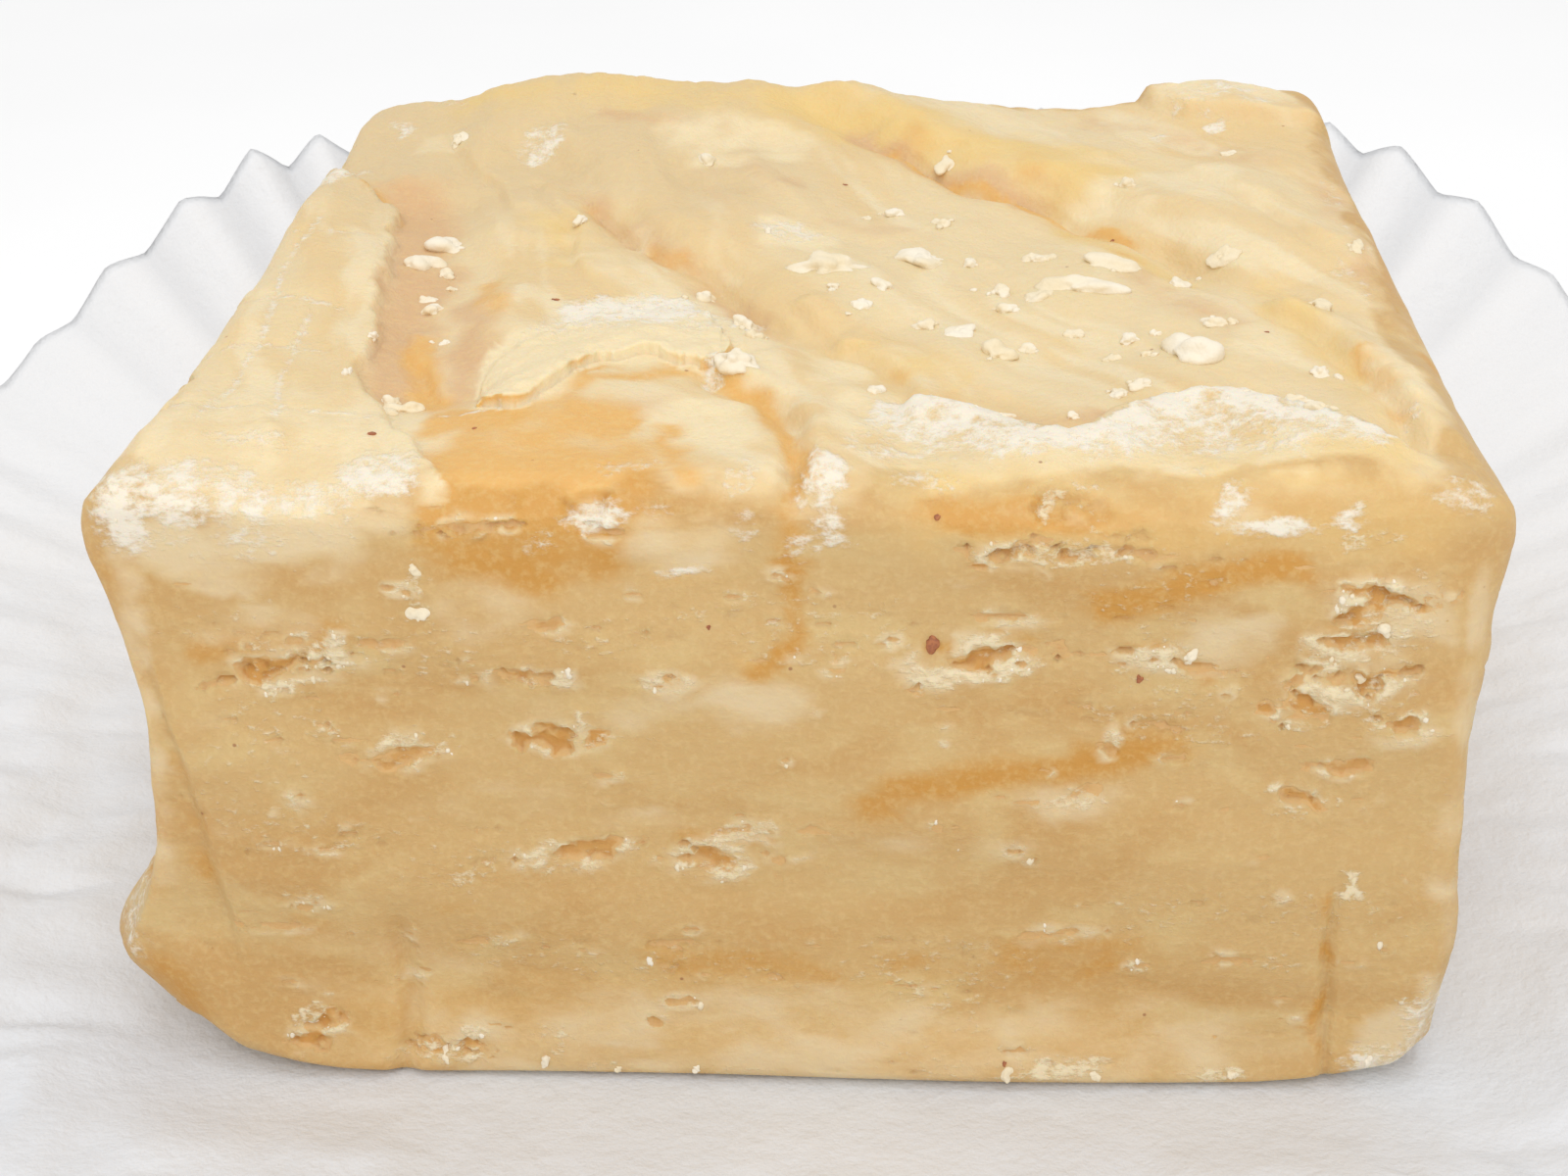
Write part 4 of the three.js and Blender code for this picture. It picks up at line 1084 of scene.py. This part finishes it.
def slab_points(slab):
    """The slab's points and normals, and the numbers of the points of its top and of its front."""
    normals = normals_of(slab)
    return places_of(slab), normals, np.flatnonzero(normals[:, 2] > 0.5), np.flatnonzero(normals[:, 1] < -0.3)


def nearest(places, group, axes, spot):
    """The point of a group that is nearest to a spot, seen along one axis."""
    return group[np.argmin(((places[group][:, axes] - spot) ** 2).sum(1))]


def crumb_piece(slab, rims):
    """Loose crumbs on the top, knobs on the front, and grains along the torn and crumbly places."""
    places, normals, upper, facing = slab_points(slab)
    heap = Heap(7)
    rng = heap.rng
    for x, y, length, width in TOP_CRUMBS:
        near = nearest(places, upper, (0, 1), (x, y))
        middle = places[near] + [x - places[near, 0], y - places[near, 1], 0]
        tall = CRUMB["tall"] * min(length, width) + CRUMB["least"]
        size = (CRUMB["spread"] * length, CRUMB["spread"] * width, tall)
        heap.drop(middle - [0, 0, CRUMB["sunk"] * tall], normals[near], size, 4)
        for _ in range(rng.integers(0, 3)):
            spot = middle + [*rng.normal(0, 0.55 * length, 2), 0]
            close = nearest(places, upper, (0, 1), spot[:2])
            small = rng.uniform(0.2, 0.45)
            heap.drop(places[close], normals[close], (small, small, 0.6 * small), 2)
    for x, z, width in FRONT_KNOBS:
        near = nearest(places, facing, (0, 2), (x, z + BASE_Z))
        size = (1.2 * width, width, 0.7 * width)
        heap.drop(places[near] - 0.2 * width * normals[near], normals[near], size, 4)
    chance = np.clip(rims - 0.45, 0, 1) * ramp(0.4, 1.0, places[:, 2])
    for near in rng.choice(len(places), RIM_GRAINS, replace=False, p=chance / chance.sum()):
        small = 0.10 + 0.24 * rng.random() ** 3
        size = (small * rng.uniform(0.8, 1.7), small, small * rng.uniform(0.4, 0.7))
        heap.drop(places[near] - CRUMB["sunk"] * small * normals[near], normals[near], size, 2)
    return heap.piece("fudge_crumbs")


def bits_piece(slab):
    """Small dark bits of peanut skin, half sunk in the slab."""
    places, normals, upper, facing = slab_points(slab)
    heap = Heap(17)
    spots = [(facing, (0, 2), (x, z + BASE_Z), width) for x, z, width in FRONT_BITS]
    spots += [(upper, (0, 1), (x, y), width) for x, y, width in TOP_BITS]
    for group, axes, spot, width in spots:
        near = nearest(places, group, axes, spot)
        heap.drop(places[near], normals[near], (1.3 * width, width, 0.5 * width), 3)
    return heap.piece("skin_bits")


def fold_radius(angle):
    """Distance from the middle to the fold between the paper's flat base and its wall."""
    n = FOLD["squareness"]
    return (np.abs(np.cos(angle) / FOLD["x"]) ** n + np.abs(np.sin(angle) / FOLD["y"]) ** n) ** (-1 / n)


def climb(angle):
    """How far the wall stands up: 0 where the case was opened out and 1 behind the slab."""
    degrees = np.degrees(angle)
    return ramp(*CLIMB["right"], degrees) * ramp(*CLIMB["left"], degrees)


def rim_height(angle):
    sag = RIM["sag"] * bell(np.degrees(angle) - CLIMB["middle"], CLIMB["sag_width"])
    return RIM["low"] + (RIM["high"] - sag - RIM["low"]) * climb(angle)


def paper_piece():
    """The case as one thin sheet with two faces: a flat base, a crease and a pleated, crumpled wall."""
    around = FLUTE_STEPS * FLUTES
    angle = np.linspace(0, 2 * math.pi, around, endpoint=False)
    ring = np.column_stack([np.cos(angle), np.sin(angle), 0 * angle])
    shares = np.concatenate([BASE_RINGS, np.linspace(0, 1, WALL_RINGS["count"]) ** WALL_RINGS["crowding"]])
    crease = fold_radius(angle)
    length = SHEET_RADIUS - crease
    height = rim_height(angle)
    reach = np.sqrt(length**2 - height**2)
    wave = np.cos(FLUTES * angle + rough(ring, "flute_jitter"))
    full = np.arcsin(FLUTE_SHARPNESS) / math.pi * 2
    flute = 0.5 - np.arcsin(FLUTE_SHARPNESS * wave) / math.pi / full
    pleat = FLUTE_HEIGHT["open"] + (FLUTE_HEIGHT["standing"] - FLUTE_HEIGHT["open"]) * climb(angle)
    pleat = pleat * (1 + rough(ring, "pleat_sway"))
    open_front = ramp(0.45, 0.1, np.sin(angle))
    rings = []
    valley_shades = []
    for share in shares:
        up = max(share, 0)
        # Painted shade for the flutes' valleys: deepest in them, stronger up the wall and where it stands
        valley_shades.append((1 - flute) * ramp(0.1, 0.8, up) * (0.3 + 0.7 * climb(angle)))
        distance = crease + share * reach
        flat = np.column_stack([distance * ring[:, 0], distance * ring[:, 1], 0 * angle])
        bend = [rough(flat, "paper_bend_x"), rough(flat, "paper_bend_y"), 0 * angle]
        bent = flat + PAPER_BEND * np.column_stack(bend)
        crumple = np.abs(rough(bent, "crumple")) + np.abs(rough(bent, "small_crumple"))
        crumple = crumple - np.abs(rough(bent, "fine_crumple"))
        crumple = crumple * (0.2 + 0.8 * open_front) * ramp(0.02, 0.25, up)
        crest = pleat * flute * up**FLUTE_GROWTH
        level = PAPER + height * up**WALL_BEND + crest + crumple
        rings.append(np.column_stack([flat[:, :2], level]))
    upper = np.vstack(rings)
    lower = upper - [0, 0, PAPER]
    number = np.arange(len(upper)).reshape(len(shares), around)
    following = np.roll(number, -1, axis=1)
    over = quads(number[:-1], number[1:], following[1:], following[:-1])
    beneath = over[:, ::-1] + len(upper)
    rim = np.stack([number[-1], number[-1] + len(upper), following[-1] + len(upper), following[-1]], 1)
    middle = 2 * len(upper)
    hub = np.stack([np.full(around, middle), number[0], following[0]], 1)
    under_hub = np.stack([np.full(around, middle + 1), following[0] + len(upper), number[0] + len(upper)], 1)
    places = np.vstack([upper, lower, [[0, 0, PAPER], [0, 0, 0]]])
    piece = mesh_object("paper_liner", places, over, beneath, rim, hub, under_hub)
    add_mask(piece, "painted_valley_shade", np.concatenate(valley_shades + valley_shades + [[0, 0]]))
    shade_smooth(piece)
    return piece


class Shader:
    """A material's node tree, built a node at a time."""

    def __init__(self, name):
        self.material = bpy.data.materials.new(name)
        self.material.use_nodes = True
        self.tree = self.material.node_tree
        self.surface = self.tree.nodes["Principled BSDF"]

    def set(self, node, inputs):
        for key, value in inputs.items():
            socket = node.inputs[key]
            if isinstance(value, bpy.types.NodeSocket):
                self.tree.links.new(value, socket)
            else:
                socket.default_value = value

    def node(self, kind, inputs=None, **settings):
        node = self.tree.nodes.new("ShaderNode" + kind)
        for key, value in settings.items():
            setattr(node, key, value)
        self.set(node, inputs or {})
        return node

    def mask(self, name):
        return self.node("Attribute", attribute_name=name).outputs["Fac"]

    def millimetres(self):
        place = self.node("TexCoord").outputs["Object"]
        return self.node("VectorMath", {0: place, "Scale": 1 / MM}, operation="SCALE").outputs["Vector"]

    def scaled(self, place, scale):
        return self.node("VectorMath", {0: place, 1: scale}, operation="MULTIPLY").outputs["Vector"]

    def noise(self, place, scale, detail=3.0, roughness=0.55):
        inputs = {"Vector": place, "Scale": scale, "Detail": detail, "Roughness": roughness}
        return self.node("TexNoise", inputs).outputs["Fac"]

    def math(self, operation, *values):
        return self.node("Math", dict(enumerate(values)), operation=operation).outputs["Value"]

    def between(self, value, low, high, to_low=0.0, to_high=1.0):
        inputs = {"Value": value, "From Min": low, "From Max": high, "To Min": to_low, "To Max": to_high}
        return self.node("MapRange", inputs, interpolation_type="SMOOTHSTEP").outputs["Result"]

    def mix(self, share, first, second):
        """One colour laid over another by a share; a colour is a socket or a name in COLOURS."""
        node = self.node("Mix", data_type="RGBA")
        colours = [(*COLOURS[value], 1.0) if isinstance(value, str) else value for value in (first, second)]
        self.set(node, {0: share, 6: colours[0], 7: colours[1]})
        return node.outputs[2]

    def bump(self, height, strength, distance, under=None):
        inputs = {"Height": height, "Strength": strength, "Distance": distance}
        if under is not None:
            inputs["Normal"] = under
        return self.node("Bump", inputs).outputs["Normal"]


def fudge_material():
    shader = Shader("fudge")
    place = shader.millimetres()
    fine = shader.noise(place, 2.6, 2.0, 0.65)
    fleck = shader.noise(shader.scaled(place, (1.9, 1.9, 3.0)), 1.0, 3.0, 0.64)
    colour = shader.node("Attribute", attribute_name="tint").outputs["Color"]
    colour = shader.mix(shader.between(fine, 0.42, 0.75, 0.0, 0.26), colour, "bloom")
    shares = {}
    for name, spread, low, high in MARKS:
        shift = shader.math("MULTIPLY_ADD", fleck, spread, -0.5 * spread)
        shares[name] = shader.between(shader.math("ADD", shader.mask(name), shift), low, high)
        colour = shader.mix(shares[name], colour, name)
        if name == "pit":
            # The deepest part of a tear is darkened: painted shade in the hollow
            deepest_shade = shader.between(shader.mask("pit"), 0.75, 1.0, 0.0, 0.9)
            colour = shader.mix(deepest_shade, colour, "pit_deep_shade")
    dots = shader.node("TexVoronoi", {"Vector": place, "Scale": 0.36, "Randomness": 1.0})
    rare = shader.between(shader.node("SeparateColor", {0: dots.outputs["Color"]}).outputs[0], 0.62, 0.66)
    dot = shader.math("MULTIPLY", shader.between(dots.outputs["Distance"], 0.045, 0.02, 0.0, 0.6), rare)
    colour = shader.mix(dot, colour, "speck")
    roughness = shader.between(fine, 0.3, 0.7, 0.44, 0.60)
    roughness = shader.math("ADD", roughness, shader.math("MULTIPLY", shares["frost"], 0.3))
    grainy = shader.bump(shader.math("ADD", fine, fleck), 0.30, 0.00022)
    raised = shader.math("MAXIMUM", shares["flecks"], shares["frost"])
    crumbly = shader.math("SUBTRACT", raised, shares["pit"])
    shader.set(shader.surface, {
        "Base Color": colour,
        "Roughness": roughness,
        "Normal": shader.bump(crumbly, 0.35, 0.00025, grainy),
        "Subsurface Weight": 0.25,
        "Subsurface Radius": (1.0, 0.55, 0.25),
        "Subsurface Scale": 0.0016,
        "IOR": 1.45,
        "Specular IOR Level": 0.4,
    })
    return shader.material


def grain_material(name, colours, cloud, fine, roughness, bump):
    """A mottled material of two colours: the settings of its two noises, its roughness and its bump."""
    shader = Shader(name)
    place = shader.millimetres()
    mottle = shader.noise(place, *cloud)
    grain = shader.noise(place, *fine)
    shader.set(shader.surface, {
        "Base Color": shader.mix(shader.between(mottle, 0.35, 0.65), *colours),
        "Roughness": shader.between(grain, 0.3, 0.7, *roughness),
        "Normal": shader.bump(grain, *bump),
    })
    return shader.material


def crumb_material():
    colours = ("crumb", "crumb_light")
    return grain_material("fudge_crumb", colours, (0.35, 2.0), (3.0, 4.0, 0.65), (0.7, 0.9), (0.5, 0.0002))


def bits_material():
    colours = ("skin_bit", "skin_bit_light")
    mottle = (4.0, 3.0, 0.6)
    return grain_material("peanut_skin", colours, mottle, mottle, (0.5, 0.75), (0.4, 0.0001))


def paper_material():
    shader = Shader("liner_paper")
    place = shader.millimetres()
    fibre = shader.noise(place, 1.6, 5.0, 0.7)
    cloud = shader.noise(place, 0.05, 3.0)
    creases = shader.noise(place, 0.4, 4.0, 0.62)
    # Painted light: the paper goes from painted shade at the front to lighter at the back
    back = shader.between(shader.node("SeparateXYZ", {0: place}).outputs["Y"], -10.0, 30.0)
    colour = shader.mix(back, "paper_front_shaded", "paper_back_lit")
    colour = shader.mix(shader.between(cloud, 0.35, 0.65, 0.0, 0.4), colour, "paper_cloud")
    colour = shader.mix(shader.between(fibre, 0.55, 0.8, 0.0, 0.25), colour, "paper_fibre")
    # Painted shade darkens the paper in the flutes' valleys
    colour = shader.mix(shader.between(shader.mask("painted_valley_shade"), 0.2, 1.0, 0.0, 0.55), colour, "paper_valley_shade")
    soft = shader.bump(creases, 0.35, 0.0006)
    shader.set(shader.surface, {
        "Base Color": colour,
        "Roughness": shader.between(fibre, 0.3, 0.7, 0.6, 0.8),
        "Normal": shader.bump(fibre, 0.35, 0.0001, soft),
        "Specular IOR Level": 0.3,
    })
    return shader.material


def floor_material():
    shader = Shader("pale_floor")
    place = shader.millimetres()
    cloud = shader.noise(place, 0.01, 3.0)
    colour = shader.mix(shader.between(cloud, 0.3, 0.7), "floor", "floor_light")
    shader.set(shader.surface, {"Base Color": colour, "Roughness": 0.9, "Specular IOR Level": 0.1})
    return shader.material


def dress(piece, material):
    piece.data.materials.clear()
    piece.data.materials.append(material)
    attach(piece, "root")


# The camera: its place in millimetres, its turn in degrees and its lens
CAMERA = {
    "place": (5.9, -121.7, 76.2), "pitch": 27.69, "roll": -1.65, "yaw": 3.87, "lens": 55.4, "sensor": 36.0,
}
# The floor's half side and how far it lies under the paper, in millimetres
FLOOR = {"side": 1500.0, "sink": 0.05}
# Soft lights: place, aim and size in metres, and power
LIGHTS = {
    "overhead": ((0.02, 0.02, 0.62), (0, 0, 0.02), 0.55, 1.05),
    "front_fill": ((0.03, -0.56, 0.48), (0, 0, 0.02), 0.5, 2.0),
}
SURROUNDINGS = 0.68


def make_camera():
    data = bpy.data.cameras.new("photo_camera")
    data.lens = CAMERA["lens"]
    data.sensor_width = CAMERA["sensor"]
    data.clip_start = 0.01
    camera = bpy.data.objects.new("photo_camera", data)
    bpy.context.collection.objects.link(camera)
    turn = (
        Matrix.Rotation(math.radians(CAMERA["yaw"]), 4, "Z")
        @ Matrix.Rotation(math.radians(90 - CAMERA["pitch"]), 4, "X")
        @ Matrix.Rotation(math.radians(CAMERA["roll"]), 4, "Z")
    )
    camera.matrix_world = Matrix.Translation(Vector(CAMERA["place"]) * MM) @ turn
    bpy.context.scene.camera = camera


def area_light(name, place, aim, size, power):
    data = bpy.data.lights.new(name, "AREA")
    data.size = size
    data.energy = power
    light = bpy.data.objects.new(name, data)
    bpy.context.collection.objects.link(light)
    light.location = place
    light.rotation_euler = (Vector(aim) - Vector(place)).to_track_quat("-Z", "Y").to_euler()


def make_stage():
    """A plain pale floor, soft light from above and white surroundings."""
    side = FLOOR["side"]
    corners = np.array([[-side, -side, 0], [side, -side, 0], [side, side, 0], [-side, side, 0]])
    floor = mesh_object("floor", corners - [0, 0, FLOOR["sink"]], [(0, 1, 2, 3)])
    floor.data.materials.append(floor_material())
    world = bpy.data.worlds.new("studio")
    world.use_nodes = True
    background = world.node_tree.nodes["Background"]
    background.inputs["Color"].default_value = (1.0, 1.0, 1.0, 1.0)
    background.inputs["Strength"].default_value = SURROUNDINGS
    bpy.context.scene.world = world
    for name, settings in LIGHTS.items():
        area_light(name, *settings)
    bpy.context.scene.view_settings.view_transform = "Standard"


make_camera()
make_stage()

slab = slab_piece()
rims = dress_slab(slab)
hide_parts("fudge_slab")
dress(slab, fudge_material())

crumbs = crumb_piece(slab, rims)
dress(crumbs, crumb_material())

bits = bits_piece(slab)
dress(bits, bits_material())

liner = paper_piece()
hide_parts("paper_case")
dress(liner, paper_material())
